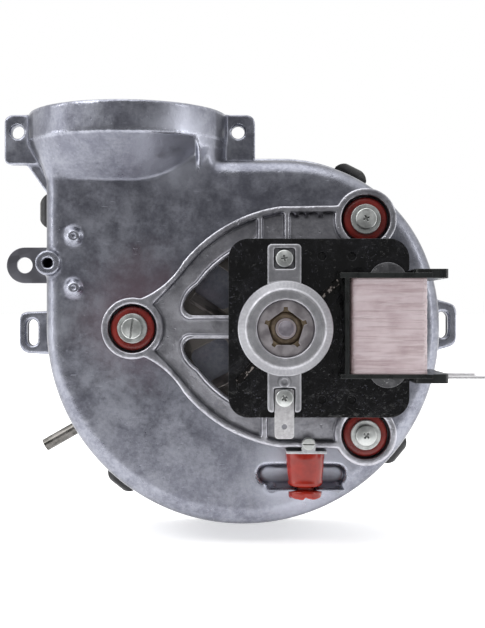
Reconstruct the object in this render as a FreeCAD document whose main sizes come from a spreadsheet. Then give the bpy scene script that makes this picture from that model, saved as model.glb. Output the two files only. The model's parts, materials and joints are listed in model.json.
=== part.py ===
import FreeCAD, Part
import math
import os
import re

import Sketcher

# Flue-gas extractor fan of a room-sealed boiler.
#
# Frame, in millimetres: the rotor turns about the Y axis, +Z is up (the outlet collar
# points up), +X is right seen from the motor side, and the fan is mounted on the plane
# Y = 0. "Depth" below is the distance in front of that plane, towards the motor, so a
# depth d is the coordinate Y = -d.

SIZES = [
    # rear cover, gasket and housing flange
    ("cover_back", 2.0, "depth of the rear cover's back face"),
    ("cover_front", 4.0, "depth of the rear cover's front face"),
    ("flange_back", 5.5, "depth where the housing flange starts, over the gasket"),
    ("flange_front", 9.0, "depth of the housing flange's front"),
    ("flange_grow", 6.6, "how far the flange stands out of the scroll wall"),
    # scroll
    ("face_depth", 58.0, "depth of the flat front face of the housing"),
    ("wall", 3.0, "wall thickness of the casting"),
    ("scroll_x", -13.4, "centre of the scroll's large arc"),
    ("scroll_z", -0.4, "centre of the scroll's large arc"),
    ("scroll_radius", 73.3, "large outer arc of the scroll"),
    ("shoulder_radius", 56.6, "outer arc of the upper right shoulder"),
    ("shoulder_angle", 20.0, "angle where the two arcs meet, in degrees"),
    ("edge_fillet", 6.5, "rounding of the front edge"),
    ("duct_right", -25.0, "right side of the outlet duct"),
    ("duct_top", 54.0, "height where the duct starts to turn round"),
    ("land_bottom", 50.0, "lower edge of the gasket land under the duct"),
    # outlet collar
    ("collar_x", -57.3, "axis of the outlet collar"),
    ("collar_depth", 38.0, "axis of the outlet collar"),
    ("collar_radius", 38.1, "outer radius of the collar"),
    ("collar_bore", 35.2, "inner radius of the collar"),
    ("collar_start", 69.4, "height where the collar is round"),
    ("collar_top", 80.6, "rim of the collar"),
    ("collar_step", -30.0, "left edge of the collar side that stands in front of the face"),
    ("lug_spacing", 84.0, "distance between the two collar lug holes"),
    ("lug_height", 73.9, "height of the collar lug holes"),
    ("lug_back", 38.0, "back of the collar lugs"),
    ("lug_front", 44.0, "front of the collar lugs"),
    ("lug_hole", 2.6, "radius of the collar lug holes"),
    # fixings of the rear cover
    ("tab_x", -104.0, "centre of the round tab's hole"),
    ("tab_z", 24.8, "centre of the round tab's hole"),
    ("tab_hole", 3.3, "radius of the round tab's hole"),
    ("tab_radius", 7.4, "outer radius of the round tab"),
    ("slot_left_x", -100.0, "centre of the left slot"),
    ("slot_left_z", -3.0, "centre of the left slot"),
    ("slot_right_x", 68.5, "centre of the right slot"),
    ("slot_width", 4.6, "width of the slots"),
    ("slot_length", 10.9, "length of the slots"),
    ("boss_x", -85.2, "centre of the tapped boss"),
    ("boss_z", 23.4, "centre of the tapped boss"),
    ("boss_front", 59.5, "front of the tapped boss"),
    ("boss_radius", 4.7, "outer radius of the tapped boss"),
    ("boss_hole", 1.9, "tapping hole in the boss"),
    # inlet and impeller
    ("inlet_radius", 32.5, "bore of the inlet nozzle"),
    ("inlet_front", 13.0, "depth that the inlet nozzle reaches"),
    ("wheel_radius", 52.0, "outer radius of the impeller"),
    ("wheel_eye", 37.0, "inner radius of the impeller's inlet ring"),
    ("blade_root", 40.0, "inner radius of the blades"),
    ("wheel_start", 14.0, "depth of the impeller's inlet side"),
    ("wheel_end", 47.0, "depth of the impeller's motor side"),
    ("sheet_steel", 1.0, "sheet thickness of the impeller"),
    # motor bracket on its grommets
    ("bracket_back", 69.0, "back of the bracket plate"),
    ("bracket_floor", 72.5, "sunk front surface of the bracket plate"),
    ("bracket_front", 75.0, "rim of the bracket plate"),
    ("foot_back", 67.5, "back of the three bracket feet"),
    ("foot_radius", 11.0, "outer radius of the bracket feet"),
    ("foot_recess", 8.6, "recess around the grommets"),
    ("foot_hole", 5.3, "hole for the grommet's neck"),
    ("recess_floor", 71.5, "depth of the recess floor"),
    ("post_front", 65.4, "front of the housing posts under the grommets"),
    ("post_radius", 6.0, "radius of the housing posts"),
    ("foot_left_x", -52.6, "left foot"),
    ("foot_right_x", 30.0, "right feet"),
    ("foot_right_z", 38.2, "right feet, above and below the axis"),
    ("grommet_radius", 7.9, "flange radius of the grommets"),
    ("grommet_front", 74.0, "front of the grommets"),
    ("screw_radius", 2.0, "shank radius of the machine screws"),
    # motor
    ("core_back", 80.0, "back of the lamination stack"),
    ("core_front", 105.0, "front of the lamination stack"),
    ("core_left", -18.2, "left edge of the stack"),
    ("core_right", 41.0, "right edge of the stack"),
    ("core_half", 29.3, "half of the stack's height"),
    ("window_left", 20.0, "left edge of the coil window"),
    ("window_top", 18.3, "top of the coil window"),
    ("window_bottom", -16.3, "bottom of the coil window"),
    ("leg_left", 28.4, "left edge of the coil leg"),
    ("leg_right", 39.5, "right edge of the coil leg"),
    ("rotor_radius", 12.5, "outer radius of the rotor core"),
    ("stator_bore", 13.0, "bore of the stator"),
    ("motor_screw_z", 22.6, "motor screws, above and below the axis"),
    ("shaft_radius", 2.5, "radius of the shaft"),
    ("bearing_bore", 2.54, "bore of the sleeve bearings"),
    ("bearing_radius", 6.2, "ball radius of the sleeve bearings"),
    ("bearing_half", 4.5, "half of a sleeve bearing's length"),
    ("front_bearing_depth", 116.0, "centre of the front bearing"),
    ("rear_bearing_depth", 72.0, "centre of the rear bearing"),
    ("seat_bore", 5.45, "bore of the seat that a bearing rests on"),
    ("bar_circle", 10.8, "radius of the circle of rotor bars"),
    ("fan_radius", 38.0, "outer radius of the cooling fan"),
    ("shaft_back", 31.0, "depth of the shaft's impeller end"),
    ("shaft_front", 124.0, "depth of the shaft's free end"),
    ("arm_front", 109.0, "front of the bridge arms"),
    ("arm_half", 5.5, "half of the bridge arms' width"),
    ("arm_reach", 27.3, "reach of the bridge arms"),
    ("dome_floor", 110.5, "depth of the dome's inside"),
    ("dome_base", 118.6, "depth where the dome starts to slope"),
    ("dome_front", 122.0, "front of the dome"),
    ("dome_base_radius", 15.1, "radius of the dome's base"),
    ("dome_front_radius", 12.6, "radius of the dome's flat front"),
    ("dome_recess", 8.9, "radius of the retainer's recess"),
    ("arm_sink", 1.7, "depth of the screw pockets in the bridge arms"),
    # coil
    ("coil_back", 72.6, "back of the coil"),
    ("coil_front", 112.4, "front of the coil"),
    ("tape_left", 20.9, "left of the coil tape"),
    ("tape_right", 46.2, "right of the coil tape"),
    ("coil_top", 16.2, "top of the winding"),
    ("coil_bottom", -14.8, "bottom of the winding"),
    # buffer
    ("buffer_x", 9.0, "axis of the stop buffer"),
    ("buffer_depth", 66.0, "axis of the stop buffer"),
    ("pit_deep", 3.2, "depth of the pit behind the buffer"),
    ("rib_top", -57.8, "top of the rib that holds the buffer"),
    ("rib_bottom", -59.0, "bottom of the rib that holds the buffer"),
]
ALIASES = [name for name, value, note in SIZES]

doc = FreeCAD.newDocument("flue_fan")
sheet = doc.addObject("Spreadsheet::Sheet", "Sizes")
for row, (name, value, note) in enumerate(SIZES, start=1):
    sheet.set("A%d" % row, name)
    sheet.set("B%d" % row, str(value))
    sheet.setAlias("B%d" % row, name)
    sheet.set("C%d" % row, note)
doc.recompute()


class Size:
    """Reads the sheet's cells as numbers: size.wall is the cell called wall."""

    def __getattr__(self, alias):
        return float(sheet.get(alias))


size = Size()
nodes = []


def node(item, label):
    """Marks an object as a sub-part, whose label names its file."""
    item.Label = label
    nodes.append(item)
    return item


def linked(formula):
    """Turns each alias in a formula into a reference to the sheet."""
    words = lambda found: "Sizes." + found.group(0) if found.group(0) in ALIASES else found.group(0)
    return re.sub(r"[a-z_]+", words, str(formula))


def bind(item, formulas):
    for name, formula in formulas.items():
        item.setExpression(name, linked(formula))


# ---------------------------------------------------------------- primitives


def rod(radius, back, front, x="0", z="0"):
    """A cylinder along the rotor's direction, between two depths."""
    item = doc.addObject("Part::Cylinder", "rod")
    item.Placement = FreeCAD.Placement(FreeCAD.Vector(), FreeCAD.Rotation(FreeCAD.Vector(1, 0, 0), 90))
    bind(item, {
        "Radius": radius,
        "Height": "(%s) - (%s)" % (front, back),
        "Placement.Base.x": x,
        "Placement.Base.y": "-(%s)" % back,
        "Placement.Base.z": z,
    })
    return item


def cone(radius_back, radius_front, back, front, x="0", z="0"):
    item = doc.addObject("Part::Cone", "cone")
    item.Placement = FreeCAD.Placement(FreeCAD.Vector(), FreeCAD.Rotation(FreeCAD.Vector(1, 0, 0), 90))
    bind(item, {
        "Radius1": radius_back,
        "Radius2": radius_front,
        "Height": "(%s) - (%s)" % (front, back),
        "Placement.Base.x": x,
        "Placement.Base.y": "-(%s)" % back,
        "Placement.Base.z": z,
    })
    return item


def block(left, right, back, front, low, high):
    """A box between two X positions, two depths and two heights."""
    item = doc.addObject("Part::Box", "block")
    bind(item, {
        "Length": "(%s) - (%s)" % (right, left),
        "Width": "(%s) - (%s)" % (front, back),
        "Height": "(%s) - (%s)" % (high, low),
        "Placement.Base.x": left,
        "Placement.Base.y": "-(%s)" % front,
        "Placement.Base.z": low,
    })
    return item


def fuse(*pieces):
    item = doc.addObject("Part::MultiFuse", "fuse")
    item.Shapes = list(pieces)
    return item


def cut(base, *tools):
    """Takes the tools away from the base."""
    item = doc.addObject("Part::Cut", "cut")
    item.Base = base
    item.Tool = tools[0] if len(tools) == 1 else fuse(*tools)
    return item


def group(*pieces):
    """Separate solids that share a node."""
    item = doc.addObject("Part::Compound", "group")
    item.Links = list(pieces)
    return item


def ring(outer, inner, back, front, x="0", z="0"):
    hole = rod(inner, "%s - 1" % back, "%s + 1" % front, x, z)
    return cut(rod(outer, back, front, x, z), hole)


# ---------------------------------------------------------------- sketches


def flat(point):
    return FreeCAD.Vector(point[0], point[1], 0)


def origin_plane(body, role):
    return next(item for item in body.Origin.OriginFeatures if item.Role == role)


def new_body(name):
    return doc.addObject("PartDesign::Body", name)


def sketch(body, offset, role="XZ_Plane"):
    """A sketch on one of the body's planes. On XZ_Plane the offset is a depth and the
    sketch shows (X, Z); on XY_Plane the offset is a height and it shows (X, -depth)."""
    drawing = body.newObject("Sketcher::SketchObject", "sketch")
    drawing.AttachmentSupport = [(origin_plane(body, role), "")]
    drawing.MapMode = "FlatFace"
    bind(drawing, {"AttachmentOffset.Base.z": offset})
    return drawing


def outline(drawing, start, *steps):
    """Adds a closed outline. A step is the next point, or (middle, end) of an arc."""
    here = start
    for step in list(steps) + [start]:
        if isinstance(step[0], tuple):
            drawing.addGeometry(Part.Arc(flat(here), flat(step[0]), flat(step[1])))
            here = step[1]
        elif step != here:
            drawing.addGeometry(Part.LineSegment(flat(here), flat(step)))
            here = step


def rounded(drawing, corners):
    """Adds a closed outline of straight sides with rounded (x, z, radius) corners."""
    points = [flat(corner) for corner in corners]
    ends = []
    for index, point in enumerate(points):
        radius = corners[index][2]
        before = (points[index - 1] - point).normalize()
        after = (points[(index + 1) % len(points)] - point).normalize()
        half = before.getAngle(after) / 2
        reach = radius / math.tan(half)
        first = point + before * reach
        last = point + after * reach
        if radius:
            middle = point + (before + after).normalize() * (radius / math.sin(half) - radius)
            drawing.addGeometry(Part.Arc(first, middle, last))
        ends.append((first, last))
    for index, (first, last) in enumerate(ends):
        drawing.addGeometry(Part.LineSegment(ends[index - 1][1], first))


def rectangle(drawing, left, right, low, high, radius=0):
    rounded(drawing, [(left, low, radius), (right, low, radius), (right, high, radius), (left, high, radius)])


def circle(drawing, x, z, radius):
    """Adds a circle whose radius follows a formula."""
    index = drawing.addGeometry(Part.Circle(flat((x, z)), FreeCAD.Vector(0, 0, 1), 1.0))
    constraint = drawing.addConstraint(Sketcher.Constraint("Radius", index, 1.0))
    bind(drawing, {"Constraints[%d]" % constraint: radius})


def slot(drawing, x, z, width, length):
    """Adds an upright slot with round ends."""
    side = width / 2
    end = length / 2 - side
    outline(
        drawing,
        (x + side, z - end),
        (x + side, z + end),
        ((x, z + length / 2), (x - side, z + end)),
        (x - side, z - end),
        ((x, z - length / 2), (x + side, z - end)),
    )


def feature(body, kind, drawing, length):
    item = body.newObject("PartDesign::" + kind, kind.lower())
    item.Profile = drawing
    bind(item, {"Length": length})
    return item


def pad(body, back, front, draw, role="XZ_Plane"):
    """Adds material between two depths (or heights, on XY_Plane)."""
    drawing = sketch(body, back, role)
    draw(drawing)
    return feature(body, "Pad", drawing, "(%s) - (%s)" % (front, back))


def pocket(body, back, front, draw, role="XZ_Plane"):
    """Takes material away between two depths (or heights, on XY_Plane)."""
    drawing = sketch(body, front, role)
    draw(drawing)
    return feature(body, "Pocket", drawing, "(%s) - (%s)" % (front, back))


def turn(body, profile):
    """Turns a closed (radius, depth) profile about the body's own Y axis."""
    drawing = sketch(body, "0", "XY_Plane")
    outline(drawing, *[(radius, -depth) for radius, depth in profile])
    return revolve(body, drawing)


def revolve(body, drawing):
    """The drawing turned about its own vertical axis."""
    item = body.newObject("PartDesign::Revolution", "turn")
    item.Profile = drawing
    item.ReferenceAxis = (drawing, ["V_Axis"])
    item.Angle = 360
    return item


def round_edges(body, base, radius, chosen):
    """Rounds the base feature's edges that the test picks."""
    doc.recompute()
    names = ["Edge%d" % (i + 1) for i, edge in enumerate(base.Shape.Edges) if chosen(edge)]
    item = body.newObject("PartDesign::Fillet", "rounding")
    item.Base = (base, names)
    bind(item, {"Radius": radius})
    return item


def at_depth(edge, depth):
    """True where the whole edge lies at one depth."""
    box = edge.BoundBox
    return abs(box.YMin + depth) < 0.01 and abs(box.YMax + depth) < 0.01


# ---------------------------------------------------------------- housing


def scroll(grow, duct_top, duct_right):
    """The scroll seen from the front, moved outwards by grow. The large arc runs from
    the left wall round the bottom and meets the shoulder arc without a corner; the duct
    on the left ends at its own height."""
    angle = math.radians(size.shoulder_angle)
    large = size.scroll_radius + grow
    small = size.shoulder_radius + grow
    step = size.scroll_radius - size.shoulder_radius
    centre_x, centre_z = size.scroll_x, size.scroll_z
    shoulder_x = centre_x + step * math.cos(angle)
    shoulder_z = centre_z + step * math.sin(angle)
    meet = (centre_x + large * math.cos(angle), centre_z + large * math.sin(angle))
    half = (angle + math.pi / 2) / 2
    middle = (shoulder_x + small * math.cos(half), shoulder_z + small * math.sin(half))
    top = shoulder_z + small
    left = centre_x - large

    def draw(drawing):
        outline(
            drawing,
            (left, duct_top),
            (left, centre_z),
            ((centre_x, centre_z - large), meet),
            (middle, (shoulder_x, top)),
            (duct_right, top),
            (duct_right, duct_top),
        )
    return draw


def duct_corners(inset):
    """The duct's section at its lower end, on the (X, -depth) plane."""
    left = size.scroll_x - size.scroll_radius + inset
    right = size.duct_right - inset
    front = -(size.face_depth - inset)
    back = -(size.flange_back + inset)
    soft = max(size.edge_fillet - inset, 1.0)
    return [(left, front, soft), (right, front, 30.0 - inset), (right, back, 15.0), (left, back, 3.0)]


def duct_loft(body, kind, inset, radius):
    """The stretch of duct that turns from the rounded box into the round collar. The
    circle is split at the box's corners, so that the two sections match side by side."""
    low = sketch(body, "duct_top", "XY_Plane")
    rounded(low, duct_corners(inset))
    high = sketch(body, "collar_start", "XY_Plane")
    centre = FreeCAD.Vector(size.collar_x, -size.collar_depth, 0)
    marks = []
    for item in low.Geometry:
        for point in (item.StartPoint, item.EndPoint):
            away = point - centre
            marks.append(round(math.atan2(away.y, away.x), 6))
    marks = sorted(set(marks))
    on_rim = lambda angle: centre + FreeCAD.Vector(math.cos(angle), math.sin(angle), 0) * radius
    for index, mark in enumerate(marks):
        following = marks[(index + 1) % len(marks)]
        if following <= mark:
            following += 2 * math.pi
        high.addGeometry(Part.Arc(on_rim(mark), on_rim((mark + following) / 2), on_rim(following)))
    item = body.newObject("PartDesign::" + kind, kind.lower())
    item.Profile = low
    item.Sections = [high]
    item.Ruled = True
    return item


def shoulder_section(radius, inset):
    """Right half of the collar's circle, cut flat at the housing's front and back."""
    front = -(size.face_depth - inset)
    back = -(size.flange_back + inset)
    axis_x, axis_y = size.collar_x, -size.collar_depth
    half = lambda y: axis_x + math.sqrt(radius ** 2 - (y - axis_y) ** 2)

    def draw(drawing):
        outline(
            drawing,
            (axis_x, front),
            (half(front), front),
            ((axis_x + radius, axis_y), (half(back), back)),
            (axis_x, back),
        )
    return draw


def make_front_housing():
    body = new_body("front_housing")
    wall = size.wall
    shell = pad(body, "flange_back", "face_depth", scroll(0, size.duct_top, size.duct_right))
    soft = lambda edge: (
        at_depth(edge, size.face_depth)
        and not (edge.BoundBox.ZMin > size.duct_top - 0.01 and edge.BoundBox.XMax < size.duct_right + 0.01)
    )
    round_edges(body, shell, "edge_fillet", soft)
    duct_loft(body, "AdditiveLoft", 0, size.collar_radius)
    collar = lambda radius: lambda drawing: circle(drawing, size.collar_x, -size.collar_depth, radius)
    pad(body, "collar_start", "collar_top", collar("collar_radius"), "XY_Plane")
    pad(body, "duct_top", "collar_start + 2", shoulder_section(size.collar_radius - 0.5, 0), "XY_Plane")
    add_collar_side(body)
    pad(body, "flange_back", "flange_front", scroll(size.flange_grow, size.duct_top, size.duct_right))
    add_collar_lugs(body)
    add_wall_lugs(body)

    # hollow inside: scroll, land under the duct, duct and collar
    pocket(body, "0", "face_depth - wall", scroll(-wall, size.land_bottom, size.duct_right + 2))
    left = size.scroll_x - size.scroll_radius + wall
    throat = lambda drawing: rectangle(
        drawing, left, size.duct_right - wall, size.land_bottom - 0.5, size.duct_top
    )
    pocket(body, "flange_back + wall", "face_depth - wall", throat)
    duct_loft(body, "SubtractiveLoft", wall, size.collar_bore)
    pocket(body, "duct_top", "collar_start + 2", shoulder_section(size.collar_bore - 0.5, wall), "XY_Plane")
    pocket(body, "collar_start", "collar_top + 1", collar("collar_bore"), "XY_Plane")

    # the wall is thicker behind the tapped boss
    pad(body, "boss_front - 15", "face_depth - 1", lambda d: circle(d, size.boss_x, size.boss_z, "boss_radius"))
    add_face_details(body)
    drill_housing(body)
    return node(body, "front_housing")


def collar_side(radius):
    """The collar's right side from the step back to behind the face, at one radius."""
    step, axis_x, axis_y = size.collar_step, size.collar_x, -size.collar_depth
    back = axis_y - 10
    front = axis_y - math.sqrt(radius ** 2 - (step - axis_x) ** 2)
    right = axis_x + math.sqrt(radius ** 2 - (back - axis_y) ** 2)
    turned = (math.atan2(front - axis_y, step - axis_x) + math.atan2(back - axis_y, right - axis_x)) / 2
    middle = (axis_x + radius * math.cos(turned), axis_y + radius * math.sin(turned))

    def draw(drawing):
        outline(drawing, (step, back), (step, front), (middle, (right, back)))
    return draw


def add_collar_side(body):
    """Right of the duct the round collar stands in front of the face; it fades out downwards."""
    fade, full = 57.0, 66.0
    narrow, wide = 34.2, size.collar_radius - 0.3
    low = sketch(body, "%s" % fade, "XY_Plane")
    collar_side(narrow)(low)
    high = sketch(body, "%s" % full, "XY_Plane")
    collar_side(wide)(high)
    item = body.newObject("PartDesign::AdditiveLoft", "fade")
    item.Profile = low
    item.Sections = [high]
    item.Ruled = True
    pad(body, "%s" % full, "collar_start + 2", collar_side(wide), "XY_Plane")


def add_collar_lugs(body):
    """Two flat lugs beside the collar, each with a web that runs down into the duct."""
    half = size.lug_spacing / 2
    hole_x = (size.collar_x - half, size.collar_x + half)
    low, high = 61.5, 80.4

    def plates(drawing):
        rounded(drawing, [(hole_x[0] - 5, low, 2), (-90, low, 0), (-90, high, 0), (hole_x[0] - 5, high, 3)])

    def right_plate(drawing):
        rounded(drawing, [(-24, low, 0), (hole_x[1] + 6.5, low, 2), (hole_x[1] + 6.5, high, 3), (-24, high, 0)])

    pad(body, "lug_back", "lug_front", plates)
    pad(body, "lug_back", "lug_front", right_plate)

    def gusset(drawing):
        outline(drawing, (-96, low), (-85, low), (-85, 46))

    pad(body, "lug_back + 1", "lug_front - 1", gusset)


def left_lug(drawing):
    rounded(drawing, [(-105.4, -11.4, 4.5), (-84, -12.6, 0), (-84, 6.2, 0), (-105.4, 5.4, 3.2)])


def right_lug(drawing):
    rounded(drawing, [(58, -13, 0), (74.3, -8, 3.5), (74.3, 8.4, 3.5), (58, 13, 0)])


def cut_slots(body, back, front):
    """The two upright slots in the side lugs."""
    for x, z in ((size.slot_left_x, size.slot_left_z), (size.slot_right_x, 0.2)):
        pocket(body, back, front, lambda d, x=x, z=z: slot(d, x, z, size.slot_width, size.slot_length))


def add_wall_lugs(body):
    """Slotted lugs at both sides, the tapped boss and the cast seat of the pressure tube."""
    pad(body, "flange_back", "flange_front", left_lug)
    pad(body, "flange_back", "flange_front", right_lug)

    def boss_web(drawing):
        boss_x, boss_z, radius = size.boss_x, size.boss_z, size.boss_radius
        outline(
            drawing,
            (boss_x, boss_z - radius),
            (boss_x + 8, boss_z - radius - 4),
            (boss_x + 8, boss_z + radius + 4),
            (boss_x, boss_z + radius),
            ((boss_x - radius, boss_z), (boss_x, boss_z - radius)),
        )

    pad(body, "34", "face_depth - 2", boss_web)
    pad(body, "34", "boss_front", lambda d: circle(d, size.boss_x, size.boss_z, "boss_radius"))


def add_face_details(body):
    """Posts for the grommets, studs beside the duct, and the buffer's pit and rib."""
    for x, z in foot_places():
        pad(body, "face_depth - wall", "post_front", lambda d, x=x, z=z: circle(d, x, z, "post_radius"))
    for z in (33.3, 14.2):
        pad(body, "face_depth - 1", "face_depth + 1.3", lambda d, z=z: circle(d, -75.6, z, "3.2"))
        pad(body, "face_depth", "face_depth + 2.4", lambda d, z=z: circle(d, -75.6, z, "2"))
        pocket(body, "face_depth + 0.9", "face_depth + 3", lambda d, z=z: circle(d, -75.6, z, "0.9"))
    # pit and rib under the buffer
    pad(body, "face_depth - wall - 2", "face_depth - 1", lambda d: rectangle(d, -10.5, 26.5, -60.5, -48.5, 5))
    pocket(body, "face_depth - pit_deep", "face_depth + 1", lambda d: rectangle(d, -7.8, 24, size.rib_top, -51.2, 3.2))
    pad(body, "face_depth - 1", "buffer_depth + 4",
        lambda d: rectangle(d, -5, 23.2, size.rib_bottom, size.rib_top))
    # round-bottomed notch that the buffer's neck drops into
    notch = sketch(body, "-56", "XY_Plane")
    x, depth, half = size.buffer_x, size.buffer_depth, 3.4
    outline(
        notch,
        (x - half, -depth - 6),
        (x - half, -depth),
        ((x, -depth + half), (x + half, -depth)),
        (x + half, -depth - 6),
    )
    feature(body, "Pocket", notch, "6")
    for x in (-3.0, 21.0):
        pad(body, "face_depth - 1", "buffer_depth + 1.5", lambda d, x=x: circle(d, x, -58.6, "1.6"))


def drill_housing(body):
    """Holes: shaft, grommet screws, tapped boss, lugs and pressure tube."""
    pocket(body, "face_depth - wall - 1", "face_depth + 1", lambda d: circle(d, 0, 0, "6.5"))
    for x, z in foot_places():
        pocket(body, "face_depth - wall - 1", "post_front + 1",
               lambda d, x=x, z=z: circle(d, x, z, "screw_radius + 0.03"))
    pocket(body, "boss_front - 12", "boss_front + 1", lambda d: circle(d, size.boss_x, size.boss_z, "boss_hole"))
    half = size.lug_spacing / 2
    for x in (size.collar_x - half, size.collar_x + half):
        pocket(body, "lug_back - 1", "lug_front + 1", lambda d, x=x: circle(d, x, size.lug_height, "lug_hole"))
    cut_slots(body, "flange_back - 1", "flange_front + 1")
    place, length = tube_place()
    bore = body.newObject("PartDesign::SubtractiveCylinder", "tube_hole")
    bore.Radius = 2.53
    bore.Height = length
    bore.Placement = place


def foot_places():
    """The three feet of the bracket: one on the left, two on the right."""
    return [
        (size.foot_left_x, -0.5),
        (size.foot_right_x, size.foot_right_z),
        (size.foot_right_x, -size.foot_right_z),
    ]


def tube_place():
    """Start, direction and length of the pressure tube, which leans in through the wall."""
    end = FreeCAD.Vector(-93.4, -15, -48.5)
    inward = FreeCAD.Vector(0.869, 0, 0.495)
    length = 27.0
    start = end + inward * length
    turn_to = FreeCAD.Rotation(FreeCAD.Vector(0, 0, 1), inward * -1)
    return FreeCAD.Placement(start, turn_to), length


def make_pressure_tube():
    """A thin brass tube, flattened and slit at its outer end."""
    place, length = tube_place()
    outer = doc.addObject("Part::Cylinder", "tube")
    inner = doc.addObject("Part::Cylinder", "bore")
    slit = doc.addObject("Part::Box", "slit")
    outer.Radius, inner.Radius = 2.5, 1.7
    outer.Height, inner.Height = length, length + 2
    slit.Length, slit.Width, slit.Height = 8, 1, 5
    outer.Placement = place
    inner.Placement = place * FreeCAD.Placement(FreeCAD.Vector(0, 0, -1), FreeCAD.Rotation())
    slit.Placement = place * FreeCAD.Placement(FreeCAD.Vector(-4, -0.5, length - 2.4), FreeCAD.Rotation())
    node(cut(outer, inner, slit), "pressure_tube")


# ---------------------------------------------------------------- cover


def make_rear_cover():
    body = new_body("rear_cover")
    plate = scroll(size.flange_grow, size.duct_top, size.duct_right)
    pad(body, "cover_back", "cover_front", plate)

    def tab(drawing):
        x, z, radius = size.tab_x, size.tab_z, size.tab_radius
        outline(
            drawing,
            (x, z - radius),
            (-88, z - radius),
            (-88, z + radius),
            (x, z + radius),
            ((x - radius, z), (x, z - radius)),
        )

    pad(body, "cover_back", "cover_front", tab)
    pad(body, "cover_back", "cover_front", left_lug)
    pad(body, "cover_back", "cover_front", right_lug)
    pad(body, "0", "inlet_front", lambda d: circle(d, 0, 0, "inlet_radius + 2.5"))
    pocket(body, "-1", "inlet_front + 1", lambda d: circle(d, 0, 0, "inlet_radius"))
    pocket(body, "0", "cover_front + 1", lambda d: circle(d, size.tab_x, size.tab_z, "tab_hole"))
    cut_slots(body, "0", "cover_front + 1")
    node(body, "rear_cover")


def make_gasket():
    body = new_body("cover_gasket")

    def draw(drawing):
        scroll(size.flange_grow - 0.8, size.duct_top - 0.3, size.duct_right + 0.3)(drawing)
        scroll(0, size.land_bottom + 0.3, size.duct_right + 4)(drawing)

    pad(body, "cover_front", "flange_back", draw)
    node(body, "cover_gasket")


def make_clips():
    """Four spring clips that bridge cover, gasket and flange. Each is drawn at the right
    of its arc's centre and then turned to its place on the rim."""
    back, front = size.cover_back, size.flange_front
    thick = 0.8
    step = size.scroll_radius - size.shoulder_radius
    angle = math.radians(size.shoulder_angle)
    shoulder = (size.scroll_x + step * math.cos(angle), size.scroll_z + step * math.sin(angle))
    large = size.scroll_radius + size.flange_grow
    small = size.shoulder_radius + size.flange_grow
    places = [
        ("cover_clip_upper_left", (size.scroll_x, 46.8), large, 180.0),
        ("cover_clip_upper_right", shoulder, small, 63.2),
        ("cover_clip_lower_left", (size.scroll_x, size.scroll_z), large, 231.6),
        ("cover_clip_lower_right", (size.scroll_x, size.scroll_z), large, 320.8),
    ]
    for label, (x, z), rim, turned in places:
        body = new_body(label)
        edge = rim + 0.1
        bow = 3.0

        def profile(drawing, rim=rim, edge=edge):
            middle = -(front + back) / 2
            outline(
                drawing,
                (rim - 5, -front - 1.4),
                (rim - 4.4, -front),
                (edge, -front),
                ((edge + bow, middle), (edge, -back)),
                (rim - 4.4, -back),
                (rim - 5, -back + 1.4),
                (rim - 4.3, -back + 1.7),
                (rim - 3.9, -back + thick),
                (edge + 0.5, -back + thick),
                ((edge + bow + thick, middle), (edge + 0.5, -front - thick)),
                (rim - 3.9, -front - thick),
                (rim - 4.3, -front - 1.7),
            )

        def corners(drawing, edge=edge, bow=bow):
            for side in (1, -1):
                outline(
                    drawing,
                    (edge + bow + 1, side * 7.2),
                    (edge - 0.4, side * 7.2),
                    ((edge + 0.7 * bow, side * 5.6), (edge + bow + 1, side * 2.4)),
                )

        pad(body, "-7", "7", profile, "XY_Plane")
        pocket(body, "cover_back - 2", "flange_front + 2", corners)
        body.Placement = FreeCAD.Placement(
            FreeCAD.Vector(x, 0, z), FreeCAD.Rotation(FreeCAD.Vector(0, 1, 0), -turned)
        )
        node(body, label)


# ---------------------------------------------------------------- bracket


def bracket_outline(inset):
    """Left half of a rounded triangle about the axis; its right edge hides behind the
    laminations. The sides are arcs: hollow beside the left foot, then bulging."""
    left, right = -50.0 + inset * 1.9, 37.0 - inset
    top = 43.0 - inset
    hollow = (-42.0 + inset * 0.6, 14.6 - inset * 0.8)
    waist = (-34.4 + inset * 0.7, 23.4 - inset * 0.7)
    bulge = (-19.2 + inset * 0.5, 36.2 - inset * 0.87)
    crown = (-0.3, 42.7 - inset)

    def draw(drawing):
        outline(
            drawing,
            (left, 10.0 - inset),
            (hollow, waist),
            (bulge, crown),
            (right - 12, top),
            (right, top - 12),
            (right, 12 - top),
            (right - 12, -top),
            (crown[0], -crown[1]),
            ((bulge[0], -bulge[1]), (waist[0], -waist[1])),
            ((hollow[0], -hollow[1]), (left, inset - 10.0)),
        )
    return draw


def window(grow, side):
    """One of the two large openings on the left; side is +1 above the spoke, -1 below."""
    inner = 4.2 - grow

    def draw(drawing):
        corner = lambda x, z: (x, side * z)
        outline(
            drawing,
            corner(-31.0, inner),
            (corner(-33.4 - grow * 0.7, inner + 1.0 - grow * 0.3), corner(-34.4 - grow, inner + 3.4)),
            (corner(-33.0 - grow, 11.0 + grow * 0.3), corner(-29.0 - grow * 0.8, 14.8 + grow * 0.7)),
            (corner(-19.0 - grow * 0.5, 24.6 + grow), corner(-8.1 + grow, 30.4 + grow)),
            corner(-8.1 + grow, inner),
        )
    return draw


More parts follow.
